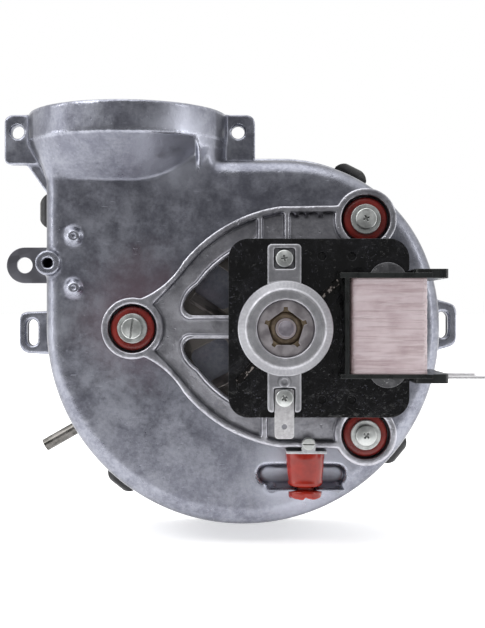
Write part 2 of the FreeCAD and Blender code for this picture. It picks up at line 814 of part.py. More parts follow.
def make_bracket():
    body = new_body("motor_bracket")
    pad(body, "bracket_back", "bracket_front", bracket_outline(0))

    def skirt(drawing):
        bracket_outline(0)(drawing)
        bracket_outline(1.8)(drawing)

    pad(body, "foot_back", "bracket_back", skirt)
    pocket(body, "bracket_floor", "bracket_front + 1", bracket_outline(2.3))
    for side in (1, -1):
        pad(body, "bracket_floor - 0.5", "bracket_front - 1", window(1.3, side))
        pocket(body, "bracket_back - 1", "bracket_front + 1", window(0, side))
        hidden = lambda d, side=side: rectangle(
            d, 9, 24, min(side * 6, side * 30), max(side * 6, side * 30), 3
        )
        pocket(body, "bracket_back - 1", "bracket_front + 1", hidden)
    # ribs beside the bridge, and small teeth along the upper rim
    for left, right, low, high in ((-8.1, -6.5, 29.5, 39.5), (1.2, 3, 29.5, 40), (-6.9, -4.8, -40, -29.5)):
        pad(body, "bracket_floor - 0.5", "bracket_front",
            lambda d, left=left, right=right, low=low, high=high: rectangle(d, left, right, low, high))
    for left, right in ((4.6, 6.4), (8.6, 9.5), (13, 14.8)):
        pad(body, "bracket_floor - 0.5", "bracket_front - 0.5",
            lambda d, left=left, right=right: rectangle(d, left, right, 39.4, 41.5))
    # room for the back of the coil
    pocket(body, "coil_back - 0.4", "bracket_front + 1", lambda d: rectangle(d, 17.4, 38, -18.3, 19.7))
    pad(body, "foot_back + 1", "foot_back + 11", lambda d: circle(d, 0, 0, "13"))
    for side in (1, -1):
        z = side * size.motor_screw_z
        pad(body, "bracket_back", "core_back", lambda d, z=z: circle(d, 0, z, "5"))
        pocket(body, "bracket_back - 1", "core_back + 1",
               lambda d, z=z: circle(d, 0, z, "screw_radius + 0.03"))
    for x, z in foot_places():
        pad(body, "foot_back", "bracket_front", lambda d, x=x, z=z: circle(d, x, z, "foot_radius"))
    for x, z in foot_places():
        pocket(body, "recess_floor", "bracket_front + 1", lambda d, x=x, z=z: circle(d, x, z, "foot_recess"))
        pocket(body, "foot_back - 1", "bracket_front + 1", lambda d, x=x, z=z: circle(d, x, z, "foot_hole"))
    # seat of the rear bearing
    pocket(body, "rear_bearing_depth - 3", "core_back", lambda d: circle(d, 0, 0, "dome_recess"))
    pocket(body, "foot_back - 1", "core_back", lambda d: circle(d, 0, 0, "seat_bore"))
    pocket(body, "rear_bearing_depth + 5", "core_back - 0.1", lambda d: circle(d, 0, 0, "14"))
    pocket(body, "bracket_floor - 3", "bracket_front + 1", lambda d: circle(d, 9.7, -41.2, "1.03"))
    node(body, "motor_bracket")


def make_mountings():
    """Grommet, sleeve, washer and screw at each foot."""
    names = ("grommet_left", "grommet_upper_right", "grommet_lower_right")
    sleeves, washers, screws = [], [], []
    for label, (x, z) in zip(names, foot_places()):
        neck = rod("foot_hole - 0.05", "foot_back", "recess_floor", x, z)
        front = rod("grommet_radius", "recess_floor", "grommet_front", x, z)
        back = rod("grommet_radius", "post_front", "foot_back", x, z)
        bore = rod("3.02", "post_front - 1", "grommet_front + 1", x, z)
        node(cut(fuse(neck, front, back), bore), label)
        sleeves.append(ring("3", "screw_radius + 0.1", "post_front", "grommet_front", x, z))
        washers.append(ring("5.4", "screw_radius + 0.1", "grommet_front", "grommet_front + 1", x, z))
        screws.append(make_screw(x, z, "56", "grommet_front + 1", "4.1", label == "grommet_left"))
    node(group(*sleeves), "grommet_sleeves")
    node(group(*washers), "mounting_washers")
    node(group(*screws), "mounting_screws")


def make_screw(x, z, tip, seat, head, slotted):
    """A pan head screw with a slot or a cross recess."""
    shank = rod("screw_radius", tip, seat, x, z)
    flange = rod(head, seat, "%s + 1.2" % seat, x, z)
    crown = cone(head, "%s - 0.9" % head, "%s + 1.2" % seat, "%s + 2.2" % seat, x, z)
    top = "%s + 3" % seat
    if slotted:
        tools = [block(x - 5, x + 5, "%s + 1" % seat, top, z - 0.5, z + 0.5)]
    else:
        tools = [
            block(x - 1.9, x + 1.9, "%s + 0.8" % seat, top, z - 0.45, z + 0.45),
            block(x - 0.45, x + 0.45, "%s + 0.8" % seat, top, z - 1.9, z + 1.9),
        ]
    return cut(fuse(shank, flange, crown), *tools)


# ---------------------------------------------------------------- stator and coil


def rivet_places():
    return [(x, side * 23.5) for x in (12.4, 22.2) for side in (1, -1)]


def ring_slot(angle, radius):
    """Corners of a square slot at a radius, turned with the shading ring."""
    cos, sin = math.cos(math.radians(angle)), math.sin(math.radians(angle))
    place = lambda along, across: (along * cos - across * sin, along * sin + across * cos)
    low, high, half = radius - 1.0, radius + 1.0, 1.0
    return [place(low, -half), place(high, -half), place(high, half), place(low, half)]


SHADING_ANGLES = {"shading_ring_upper": 40.6, "shading_ring_lower": 229.4}
SHADING_RADII = (16.3, 22.5)


def make_stator():
    body = new_body("stator_core")
    middle = (size.leg_left + size.leg_right) / 2
    half = 5.55
    deep = 3.3
    top, bottom = size.window_top, size.window_bottom

    def draw(drawing):
        left, right, reach = size.core_left, size.core_right, size.core_half
        soft = 6.5
        slope = soft * (1 - math.sqrt(0.5))
        outline(
            drawing,
            (left, reach - soft),
            ((left + slope, reach - slope), (left + soft, reach)),
            (right - soft, reach),
            ((right - slope, reach - slope), (right, reach - soft)),
            (right, top + 1),
            (right - 1, top),
            (middle + half, top),
            ((middle, top + deep), (middle - half, top)),
            (size.window_left, top),
            (size.window_left, bottom),
            (middle - half, bottom),
            ((middle, bottom - deep), (middle + half, bottom)),
            (right - 1, bottom),
            (right, bottom - 1),
            (right, soft - reach),
            ((right - slope, slope - reach), (right - soft, -reach)),
            (left + soft, -reach),
            ((left + slope, slope - reach), (left, soft - reach)),
        )
        circle(drawing, 0, 0, "stator_bore")
        for side in (1, -1):
            circle(drawing, 0, side * size.motor_screw_z, "screw_radius + 0.2")
        for x, z in rivet_places():
            circle(drawing, x, z, "1.4")
        for angle in SHADING_ANGLES.values():
            for radius in SHADING_RADII:
                outline(drawing, *ring_slot(angle, radius))

    pad(body, "core_back", "core_front", draw)
    node(body, "stator_core")
    rivets = [rod("1.4", "core_back - 0.5", "core_front - 1.2", x, z) for x, z in rivet_places()]
    node(group(*rivets), "lamination_rivets")

    leg = new_body("coil_core_leg")

    def leg_outline(drawing):
        outline(
            drawing,
            (middle - half, bottom),
            ((middle, bottom - deep + 0.05), (middle + half, bottom)),
            (middle + half, top),
            ((middle, top + deep - 0.05), (middle - half, top)),
        )

    pad(leg, "core_back", "core_front", leg_outline)
    node(leg, "coil_core_leg")
    for label, angle in SHADING_ANGLES.items():
        make_shading_ring(label, angle)


def make_shading_ring(label, angle):
    """A closed loop of square copper bar through two slots of the core."""
    inner, outer = SHADING_RADII[0] - 0.9, SHADING_RADII[1] + 0.9
    loop = block(inner, outer, "core_back - 1.9", "core_front + 1.9", -0.9, 0.9)
    gap = block(inner + 1.8, outer - 1.8, "core_back - 0.1", "core_front + 0.1", -2, 2)
    item = cut(loop, gap)
    item.Placement = FreeCAD.Placement(
        FreeCAD.Vector(), FreeCAD.Rotation(FreeCAD.Vector(0, 1, 0), -angle)
    )
    node(item, label)


def make_coil():
    body = new_body("coil_bobbin")
    left, right = size.leg_left, size.leg_right
    back, front = -size.core_back, -size.core_front
    wall = 1.2
    clear = 0.05

    def tube(drawing):
        rectangle(drawing, left - wall, right + wall, front - wall, back + wall)
        rectangle(drawing, left - clear, right + clear, front - clear, back + clear)

    def flange(drawing):
        stack = size.window_left + 0.3
        outline(
            drawing,
            (17.9, -size.coil_front),
            (47.5, -size.coil_front),
            (47.5, -size.coil_back),
            (17.9, -size.coil_back),
            (17.9, back + 0.4),
            (stack, back + 0.4),
            (stack, front - 0.4),
            (17.9, front - 0.4),
        )
        rectangle(drawing, left - clear, right + clear, front - clear, back + clear)

    def carrier(drawing):
        rectangle(drawing, 42.2, 53.0, -110.5, -75.5, 1.5)

    pad(body, "coil_bottom", "coil_top", tube, "XY_Plane")
    pad(body, "coil_top", "coil_top + 1.7", flange, "XY_Plane")
    pad(body, "coil_bottom - 1.4", "coil_bottom", flange, "XY_Plane")
    pad(body, "coil_top", "coil_top + 3", carrier, "XY_Plane")
    pad(body, "coil_bottom - 3", "coil_bottom", carrier, "XY_Plane")

    def guard(drawing):
        rectangle(drawing, 19.4, 20.7, -size.coil_front, front - 0.4)

    pad(body, "coil_bottom", "coil_top", guard, "XY_Plane")
    for depth in TERMINAL_DEPTHS:
        pocket(body, "coil_bottom - 1.9", "coil_bottom - 1.1",
               lambda d, depth=depth: rectangle(d, 46, 54, -depth - 3.15, -depth + 3.15), "XY_Plane")
    node(body, "coil_bobbin")

    winding = new_body("coil_winding")
    tape = new_body("coil_tape")
    skin = 0.7

    def turns(drawing):
        rectangle(drawing, size.tape_left + skin, size.tape_right - skin,
                  -size.coil_front + skin + 0.3, -size.coil_back - skin - 0.3, 2)
        rectangle(drawing, left - wall, right + wall, front - wall, back + wall)

    def wrap(drawing):
        rectangle(drawing, size.tape_left, size.tape_right,
                  -size.coil_front + 0.3, -size.coil_back - 0.3, 2.7)
        rectangle(drawing, size.tape_left + skin, size.tape_right - skin,
                  -size.coil_front + skin + 0.3, -size.coil_back - skin - 0.3, 2)

    pad(winding, "coil_bottom", "coil_top", turns, "XY_Plane")
    pad(tape, "coil_bottom", "coil_top", wrap, "XY_Plane")
    node(winding, "coil_winding")
    node(tape, "coil_tape")

    for label, depth in zip(("terminal_rear", "terminal_front"), TERMINAL_DEPTHS):
        blade = new_body(label)

        def spade(drawing, depth=depth):
            rounded(drawing, [(46, -depth - 3.15, 0), (67, -depth - 3.15, 1.4),
                              (67, -depth + 3.15, 1.4), (46, -depth + 3.15, 0)])
            circle(drawing, 62.5, -depth, "0.9")

        pad(blade, "coil_bottom - 1.9", "coil_bottom - 1.1", spade, "XY_Plane")
        node(blade, label)


TERMINAL_DEPTHS = (83.0, 101.0)


# ---------------------------------------------------------------- bearings and bridge


def make_bridge():
    body = new_body("front_bridge")

    half, reach = size.arm_half, size.arm_reach
    corner = 1.4

    def arms(drawing):
        rounded(drawing, [(x, z, corner) for x, z in
                          ((-half, -reach), (half, -reach), (half, reach), (-half, reach))])

    pad(body, "core_front", "arm_front", arms)
    turn(body, [
        (9, size.core_front),
        (size.dome_base_radius, size.core_front),
        (size.dome_base_radius, size.dome_base),
        (size.dome_front_radius, size.dome_front - 0.3),
        (size.dome_front_radius - 0.4, size.dome_front),
        (9, size.dome_front),
    ])
    pocket(body, "core_front - 1", "dome_floor", lambda d: circle(d, 0, 0, "stator_bore"))
    pocket(body, "core_front - 1", "dome_front + 1", lambda d: circle(d, 0, 0, "seat_bore"))
    pad(body, "dome_floor", "front_bearing_depth - 3", lambda d: ring_sketch(d, 9.5, size.seat_bore))
    pocket(body, "front_bearing_depth - 3", "dome_front + 1", lambda d: circle(d, 0, 0, "dome_recess"))
    for side in (1, -1):
        z = side * size.motor_screw_z
        pocket(body, "core_front - 1", "arm_front + 1", lambda d, z=z: circle(d, 0, z, "screw_radius + 0.2"))
    # square pocket round the upper screw, open channel for the earth tab, ring mark
    pocket(body, "arm_front - arm_sink", "arm_front + 1", lambda d: rectangle(d, -3.4, 3.4, 19.3, 25.9, 0.6))
    pocket(body, "arm_front - arm_sink", "arm_front + 1",
           lambda d: rectangle(d, -3.4, 3.4, -reach - 1, -19.4))
    mark = lambda drawing: (circle(drawing, 0, -17.4, "1.7"), circle(drawing, 0, -17.4, "1.2"))
    pad(body, "arm_front - 0.2", "arm_front + 0.25", mark)
    node(body, "front_bridge")


def ring_sketch(drawing, outer, inner):
    circle(drawing, 0, 0, outer)
    circle(drawing, 0, 0, inner)


def make_bearings():
    for where in ("front", "rear"):
        centre = "%s_bearing_depth" % where
        middle = float(sheet.get(centre))
        half = size.bearing_half
        end = math.sqrt(size.bearing_radius ** 2 - half ** 2)
        body = new_body("%s_bearing" % where)
        drawing = sketch(body, "0", "XY_Plane")
        bore = size.bearing_bore
        outline(
            drawing,
            (bore, -(middle - half)),
            (end, -(middle - half)),
            ((size.bearing_radius, -middle), (end, -(middle + half))),
            (bore, -(middle + half)),
        )
        revolve(body, drawing)
        node(body, "%s_bearing" % where)
        felt = fuse(
            ring("dome_recess - 0.1", "bearing_radius + 0.1", centre + " - 2.9", centre + " + 3.4"),
            ring("dome_recess - 0.1", "5.3", centre + " + 3.3", centre + " + 3.75"),
        )
        node(felt, "%s_oil_felt" % where)
        make_retainer("%s_retainer" % where, centre)


def make_retainer(label, centre):
    """A thin spring disc with a five-sided hole and five slits."""
    body = new_body(label)

    def draw(drawing):
        circle(drawing, 0, 0, "dome_recess - 0.05")
        count = 5
        inner, outer = 4.95, 6.9
        corners = []
        for index in range(count):
            middle = math.radians(90 + 360 / count * index)
            gap = math.radians(7)
            for angle, radius in ((middle - gap, inner + 0.9), (middle - gap * 0.8, outer),
                                  (middle + gap * 0.8, outer), (middle + gap, inner + 0.9)):
                corners.append((radius * math.cos(angle), radius * math.sin(angle)))
        outline(drawing, *corners)

    pad(body, centre + " + 3.8", centre + " + 4.4", draw)
    node(body, label)


def make_motor_fixings():
    upper = make_screw(0, size.motor_screw_z, "71", "arm_front - arm_sink", "2.9", False)
    lower = make_screw(0, -size.motor_screw_z, "71", "arm_front - arm_sink + 0.8", "2.9", False)
    node(group(upper, lower), "motor_screws")
    tab = new_body("earth_tab")

    def draw(drawing):
        rounded(drawing, [(-3.15, -35.9, 1.2), (3.15, -35.9, 1.2), (3.15, -19.7, 1), (-3.15, -19.7, 1)])
        circle(drawing, 0, -size.motor_screw_z, "screw_radius + 0.2")
        circle(drawing, 0, -32, "0.9")

    pad(tab, "arm_front - arm_sink", "arm_front - arm_sink + 0.8", draw)
    node(tab, "earth_tab")


# ---------------------------------------------------------------- stop buffer


def make_buffer():
    """A silicone cup that hangs from the bracket; its neck drops into the housing's rib."""
    body = new_body("stop_buffer")
    drawing = sketch(body, "0", "XZ_Plane")
    outline(
        drawing,
        (0, -44.7),
        (7.1, -44.7),
        (6.75, -50.5),
        (6.2, -55.4),
        ((5.6, -57), (4.3, -57.6)),
        (3.1, -57.6),
        (3.1, -59.3),
        (6.1, -59.3),
        (6.1, -60.9),
        ((5.7, -61.6), (4.9, -61.8)),
        (0, -61.8),
    )
    revolve(body, drawing)
    body.Placement = FreeCAD.Placement(
        FreeCAD.Vector(size.buffer_x, -size.buffer_depth, 0), FreeCAD.Rotation()
    )
    node(body, "stop_buffer")
    shelf = block("buffer_x - 7.1", "buffer_x + 7.1", "buffer_depth - 6.4", "bracket_front + 1", -44.7, -43.7)
    upright = fuse(
        block(7.3, 12.1, "bracket_front", "bracket_front + 1", -43.8, -41.2),
        rod("2.4", "bracket_front", "bracket_front + 1", 9.7, -41.2),
    )
    hole = rod("1.1", "bracket_front - 1", "bracket_front + 2", 9.7, -41.2)
    node(cut(fuse(shelf, upright), hole), "buffer_hanger")
    shank = rod("1", "bracket_floor - 2", "bracket_front + 1", 9.7, -41.2)
    head = rod("2.1", "bracket_front + 1", "bracket_front + 2.1", 9.7, -41.2)
    groove = block(7, 12.4, "bracket_front + 1.5", "bracket_front + 3", -41.4, -41.0)
    node(cut(fuse(shank, head), groove), "buffer_screw")


# ---------------------------------------------------------------- rotor


def around(body, base, count):
    """Repeats a feature evenly about the rotor axis."""
    pattern = body.newObject("PartDesign::PolarPattern", "around")
    pattern.Originals = [base]
    pattern.Axis = (origin_plane(body, "Y_Axis"), [""])
    pattern.Angle = 360
    pattern.Occurrences = count
    body.Tip = pattern
    return pattern


def make_rotor():
    node(rod("shaft_radius", "shaft_back", "shaft_front"), "shaft")
    bars = 13
    core = new_body("rotor_core")
    cage = new_body("rotor_cage")
    places = [(math.cos(2 * math.pi * i / bars), math.sin(2 * math.pi * i / bars)) for i in range(bars)]

    def bar_circles(drawing):
        for x, z in places:
            circle(drawing, x * size.bar_circle, z * size.bar_circle, "0.9")

    def stack(drawing):
        ring_sketch(drawing, size.rotor_radius, size.shaft_radius)
        bar_circles(drawing)

    pad(core, "core_back", "core_front", stack)
    node(core, "rotor_core")
    for back, front in (("core_back - 2.5", "core_back"), ("core_front", "core_front + 2.5")):
        pad(cage, back, front, lambda d: ring_sketch(d, 12.2, 7.5))
    pad(cage, "core_back - 1", "core_front + 1", bar_circles)
    node(cage, "rotor_cage")
    rear = ring("4.2", "shaft_radius", "rear_bearing_depth + 5", "core_back")
    front = ring("4.2", "shaft_radius", "core_front", "front_bearing_depth - 4.9")
    node(group(rear, front), "thrust_washers")


def make_cooling_fan():
    """A stamped disc: each blade is a tab that is bent forwards out of its own window."""
    body = new_body("cooling_fan")
    pad(body, "61.5", "62.5", lambda d: ring_sketch(d, size.fan_radius, size.shaft_radius + 2))
    count = 6
    opening = pocket(body, "61", "63", lambda d: rectangle(d, 19.5, 34, -6.5, 6.5, 3))
    around(body, opening, count)
    blade = body.newObject("PartDesign::AdditiveBox", "blade")
    blade.Length, blade.Width, blade.Height = 14, 1, 6.5
    lean = FreeCAD.Rotation(FreeCAD.Vector(1, 0, 0), 60)
    blade.Placement = FreeCAD.Placement(FreeCAD.Vector(18.5, -62, 6.2), lean)
    around(body, blade, count)
    body.Placement = FreeCAD.Placement(FreeCAD.Vector(), FreeCAD.Rotation(FreeCAD.Vector(0, 1, 0), -27))
    node(body, "cooling_fan")
    bush = fuse(rod("shaft_radius + 2", "59", "64.5"), rod("7", "62.5", "63.5"), rod("7", "60.3", "61.5"))
    node(cut(bush, rod("shaft_radius", "50", "70")), "cooling_fan_bush")


def make_impeller():
    start, end, sheet_steel = "wheel_start", "wheel_end", "sheet_steel"
    node(ring("wheel_radius", "7", end + " - 1", end), "impeller_back_plate")
    node(ring("wheel_radius", "wheel_eye", start, start + " + 1"), "impeller_front_ring")
    blades = new_body("impeller_blades")
    count = 36

    def blade(drawing):
        root, tip = size.blade_root, size.wheel_radius - 0.6
        lean = math.radians(9)
        point = lambda radius, angle: (radius * math.cos(angle), radius * math.sin(angle))
        outline(
            drawing,
            point(root, 0),
            (point((root + tip) / 2, -0.035), point(tip, lean * 0.55)),
            point(tip, lean * 0.55 + 0.018),
            (point((root + tip) / 2, -0.035 + 0.02), point(root, 0.024)),
        )

    drawing = sketch(blades, "wheel_start + sheet_steel", "XZ_Plane")
    blade(drawing)
    first = feature(blades, "Pad", drawing, "wheel_end - wheel_start - 2 * sheet_steel")
    around(blades, first, count)
    node(blades, "impeller_blades")
    hub = cut(fuse(rod("7", "38", "wheel_end + 1"), rod("12", "wheel_end - 2.5", "wheel_end - 1")),
              rod("shaft_radius", "30", "60"))
    node(hub, "impeller_hub")
    node(ring("5", "shaft_radius", "37", "38"), "impeller_lock_washer")
    nut = doc.addObject("Part::Prism", "hexagon")
    nut.Polygon = 6
    nut.Circumradius = 4.6
    nut.Height = 4
    nut.Placement = FreeCAD.Placement(
        FreeCAD.Vector(0, -33, 0), FreeCAD.Rotation(FreeCAD.Vector(1, 0, 0), 90)
    )
    node(cut(nut, rod("shaft_radius", "30", "60")), "impeller_nut")


make_front_housing()
make_pressure_tube()
make_rear_cover()
make_gasket()
make_clips()
make_bracket()
make_mountings()
make_stator()
make_coil()
make_bridge()
make_bearings()
make_motor_fixings()
make_buffer()
make_rotor()
make_cooling_fan()
make_impeller()
doc.recompute()

# ---------------------------------------------------------------- output

for item in doc.Objects:
    if "Invalid" in item.State or "Error" in item.State:
        raise RuntimeError("%s failed: %s" % (item.Name, item.State))
os.makedirs("parts", exist_ok=True)
for item in nodes:
    shape = item.Shape
    if shape.isNull() or not shape.isValid():
        raise RuntimeError("%s has no valid shape" % item.Label)
    shape.exportStep("parts/%s.step" % item.Label)
    print("%-22s %2d solids %10.1f mm3" % (item.Label, len(shape.Solids), shape.Volume))
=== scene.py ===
import json
import math

import bmesh
import bpy
import numpy as np
from mathutils import Matrix, Vector, noise


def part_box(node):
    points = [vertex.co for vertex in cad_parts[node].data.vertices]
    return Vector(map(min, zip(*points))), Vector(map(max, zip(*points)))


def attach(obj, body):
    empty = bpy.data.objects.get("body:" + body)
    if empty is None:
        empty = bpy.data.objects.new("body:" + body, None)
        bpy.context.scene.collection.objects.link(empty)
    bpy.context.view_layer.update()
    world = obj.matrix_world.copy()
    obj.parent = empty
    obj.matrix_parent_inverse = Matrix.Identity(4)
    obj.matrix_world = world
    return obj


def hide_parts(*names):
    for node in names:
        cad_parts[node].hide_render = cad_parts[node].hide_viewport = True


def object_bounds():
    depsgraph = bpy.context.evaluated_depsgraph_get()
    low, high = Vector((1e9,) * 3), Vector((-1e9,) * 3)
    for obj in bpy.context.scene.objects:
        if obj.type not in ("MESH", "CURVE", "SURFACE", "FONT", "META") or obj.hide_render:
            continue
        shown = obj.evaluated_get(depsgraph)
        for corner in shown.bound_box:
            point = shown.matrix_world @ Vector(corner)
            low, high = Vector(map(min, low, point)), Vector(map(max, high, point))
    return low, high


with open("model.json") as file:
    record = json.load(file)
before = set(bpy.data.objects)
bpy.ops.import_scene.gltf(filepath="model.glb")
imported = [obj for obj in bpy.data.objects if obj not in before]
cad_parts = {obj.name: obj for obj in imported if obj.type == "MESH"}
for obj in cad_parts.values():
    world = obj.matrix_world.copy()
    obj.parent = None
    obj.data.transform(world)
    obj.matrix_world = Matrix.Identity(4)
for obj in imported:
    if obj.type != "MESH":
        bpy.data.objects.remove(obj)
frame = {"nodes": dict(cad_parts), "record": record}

MM = 0.001
cad_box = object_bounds()


# ---------------------------------------------------------------- finishes


class Surface:
    """A node material: a Principled shader fed by textures measured in millimetres."""

    def __init__(self, name, metallic=0.0, **sockets):
        self.material = bpy.data.materials.new(name)
        self.material.use_nodes = True
        self.nodes = self.material.node_tree.nodes
        self.links = self.material.node_tree.links
        self.shader = self.nodes["Principled BSDF"]
        self.shader.inputs["Metallic"].default_value = metallic
        for socket, value in sockets.items():
            self.shader.inputs[socket.replace("_", " ")].default_value = value
        where = self.add("ShaderNodeTexCoord").outputs["Object"]
        self.place = self.vector("SCALE", where, scale=1 / MM)
        self.height = None
        self.normal = None

    def add(self, kind, **settings):
        node = self.nodes.new(kind)
        for setting, value in settings.items():
            setattr(node, setting, value)
        return node

    def feed(self, socket, value):
        if isinstance(value, bpy.types.NodeSocket):
            self.links.new(value, socket)
        else:
            socket.default_value = value

    def vector(self, operation, first, second=None, scale=None):
        node = self.add("ShaderNodeVectorMath", operation=operation)
        self.feed(node.inputs[0], first)
        if second is not None:
            self.feed(node.inputs[1], second)
        if scale is not None:
            node.inputs["Scale"].default_value = scale
        return node.outputs["Value" if operation in ("DOT_PRODUCT", "DISTANCE") else "Vector"]

    def axes(self):
        """The place as three numbers in millimetres, by the names X, Y and Z."""
        node = self.add("ShaderNodeSeparateXYZ")
        self.feed(node.inputs[0], self.place)
        return node.outputs

    def math(self, operation, first, second=0.0):
        node = self.add("ShaderNodeMath", operation=operation)
        self.feed(node.inputs[0], first)
        self.feed(node.inputs[1], second)
        return node.outputs["Value"]

    def turned(self, angles, stretch=(1, 1, 1)):
        """The place, turned by angles in degrees and squeezed by stretch."""
        node = self.add("ShaderNodeMapping")
        self.feed(node.inputs["Vector"], self.place)
        node.inputs["Rotation"].default_value = [math.radians(a) for a in angles]
        node.inputs["Scale"].default_value = stretch
        return node.outputs["Vector"]

    def noise(self, size, detail=3.0, rough=0.55, place=None, bend=0.0):
        """Cloudy noise, 0 to 1, with clouds of about that size in millimetres."""
        node = self.add("ShaderNodeTexNoise")
        self.feed(node.inputs["Vector"], place or self.place)
        node.inputs["Scale"].default_value = 1 / size
        node.inputs["Detail"].default_value = detail
        node.inputs["Roughness"].default_value = rough
        node.inputs["Distortion"].default_value = bend
        return node.outputs["Fac"]

    def cells(self, size, output="Distance"):
        """Cells of about that size in millimetres: the distance to the middle, or a colour for each."""
        node = self.add("ShaderNodeTexVoronoi")
        self.feed(node.inputs["Vector"], self.place)
        node.inputs["Scale"].default_value = 1 / size
        return node.outputs[output]

    def bands(self, size, direction):
        """Waves of that length in millimetres along an axis. At scale 1 a wave is 2 pi / 20 long."""
        node = self.add("ShaderNodeTexWave", bands_direction=direction)
        self.feed(node.inputs["Vector"], self.place)
        node.inputs["Scale"].default_value = 2 * math.pi / 20 / size
        return node.outputs["Fac"]

    def ramp(self, value, low, high, start=0.0, end=1.0):
        """value mapped from low..high to start..end, held outside that."""
        node = self.add("ShaderNodeMapRange", interpolation_type="SMOOTHSTEP")
        self.feed(node.inputs["Value"], value)
        node.inputs["From Min"].default_value = low
        node.inputs["From Max"].default_value = high
        node.inputs["To Min"].default_value = start
        node.inputs["To Max"].default_value = end
        return node.outputs["Result"]

    def mix(self, share, first, second):
        """first where share is 0, second where it is 1."""
        node = self.add("ShaderNodeMix", data_type="RGBA")
        self.feed(node.inputs["Factor"], share)
        self.feed(node.inputs["A"], (*first, 1) if isinstance(first, tuple) else first)
        self.feed(node.inputs["B"], (*second, 1) if isinstance(second, tuple) else second)
        return node.outputs["Result"]

    def worn(self):
        """The bend that soften() measured: above 0 on outer edges, below 0 in inner corners."""
        return self.add("ShaderNodeAttribute", attribute_name="worn").outputs["Fac"]

    def edges(self, radius):
        """1 along sharp edges and 0 on open faces; it also rounds the shading there."""
        bevel = self.add("ShaderNodeBevel", samples=6)
        bevel.inputs["Radius"].default_value = radius * MM
        flat = self.add("ShaderNodeNewGeometry").outputs["Normal"]
        self.normal = bevel.outputs["Normal"]
        alike = self.vector("DOT_PRODUCT", self.normal, flat)
        return self.ramp(alike, 0.995, 0.8)

    def corners(self, reach):
        """1 in corners and hollows, 0 in the open, from ambient occlusion. Where it darkens a colour, that is
        painted shade.
        """
        node = self.add("ShaderNodeAmbientOcclusion", samples=6)
        node.inputs["Distance"].default_value = reach * MM
        return self.ramp(node.outputs["AO"], 0.85, 0.35)

    def scratches(self, size, angles, amount):
        """1 on thin scratches that run about one way."""
        line = self.noise(size, 1.0, place=self.turned(angles, (0.03, 1, 1)), bend=0.3)
        here = self.noise(size * 14, 2.0, place=self.turned(angles))
        patch = self.ramp(here, 1 - amount, 1.08 - amount)
        return self.math("MULTIPLY", self.ramp(line, 0.70, 0.74), patch)

    def raise_by(self, value, depth):
        """Adds value times depth millimetres to the height of the surface."""
        step = self.math("MULTIPLY", value, depth)
        self.height = step if self.height is None else self.math("ADD", self.height, step)

    def done(self, colour, roughness):
        self.feed(self.shader.inputs["Base Color"], (*colour, 1) if isinstance(colour, tuple) else colour)
        self.feed(self.shader.inputs["Roughness"], roughness)
        if self.height is not None:
            bump = self.add("ShaderNodeBump")
            bump.inputs["Distance"].default_value = MM
            self.feed(bump.inputs["Height"], self.height)
            if self.normal is not None:
                self.feed(bump.inputs["Normal"], self.normal)
            self.normal = bump.outputs["Normal"]
        if self.normal is not None:
            self.feed(self.shader.inputs["Normal"], self.normal)
        return self.material


def scaled(colour, factor):
    """A colour made brighter or darker, with no channel over 1."""
    return tuple(min(1.0, channel * factor) for channel in colour)


# Marks on the housing only, in millimetres: patches of painted light as (middle, reach), the heat mark with
# the distances where it starts and is full, and the Y where the painted line of shade behind the front edge
# starts and is full on its front and on its back. The pit is 2.2 times as long as it is high.
PAINTED_LIGHT_PATCHES = (((-38, -68, 63), 22), ((8, -52, -55), 24))
HEAT_MARK, HEAT_REACH = (-50, -58, 4), (46, 14)
SHADE_LINE_FRONT, SHADE_LINE_BACK = (-56.2, -54.4), (-46, -50)
PIT_MIDDLE, PIT_SHAPE, PIT_EDGE = Vector((8.3, 0, -55.4)), Vector((1, 0, 2.2)), (18, 22)


def housing_patches(s, colour, light, patches):
    """Painted light: brighter colour on the scoop and in the buffer's pit. Also a faint pink heat mark on the
    face.
    """
    for middle, reach in PAINTED_LIGHT_PATCHES:
        close = s.ramp(s.vector("DISTANCE", s.place, middle), reach, reach * 0.35)
        # painted light: the colour brightens towards each patch's middle
        colour = s.mix(s.math("MULTIPLY", close, 0.6), colour, scaled(light, 1.9))
    away = s.vector("DISTANCE", s.place, HEAT_MARK)
    ragged = s.math("ADD", away, s.math("MULTIPLY", patches, 30))
    pink = (light[0] * 1.05, light[1] * 0.72, light[2] * 0.74)
    return s.mix(s.math("MULTIPLY", s.ramp(ragged, *HEAT_REACH), 0.75), colour, pink)


def housing_shade_line(s, colour, dark):
    """Painted shade: a dark line on the side walls behind the rounded front edge. The pit lies as deep, but
    is left out of it.
    """
    depth = s.axes()["Y"]
    line = s.math("MINIMUM", s.ramp(depth, *SHADE_LINE_FRONT), s.ramp(depth, *SHADE_LINE_BACK))
    off_pit = s.vector("DISTANCE", s.vector("MULTIPLY", s.place, PIT_SHAPE), PIT_MIDDLE * PIT_SHAPE)
    line = s.math("MULTIPLY", line, s.ramp(off_pit, *PIT_EDGE))
    # painted shade: the line darkens the colour towards a third of the dark tone
    return s.mix(s.math("MULTIPLY", line, 0.6), colour, scaled(dark, 0.3))


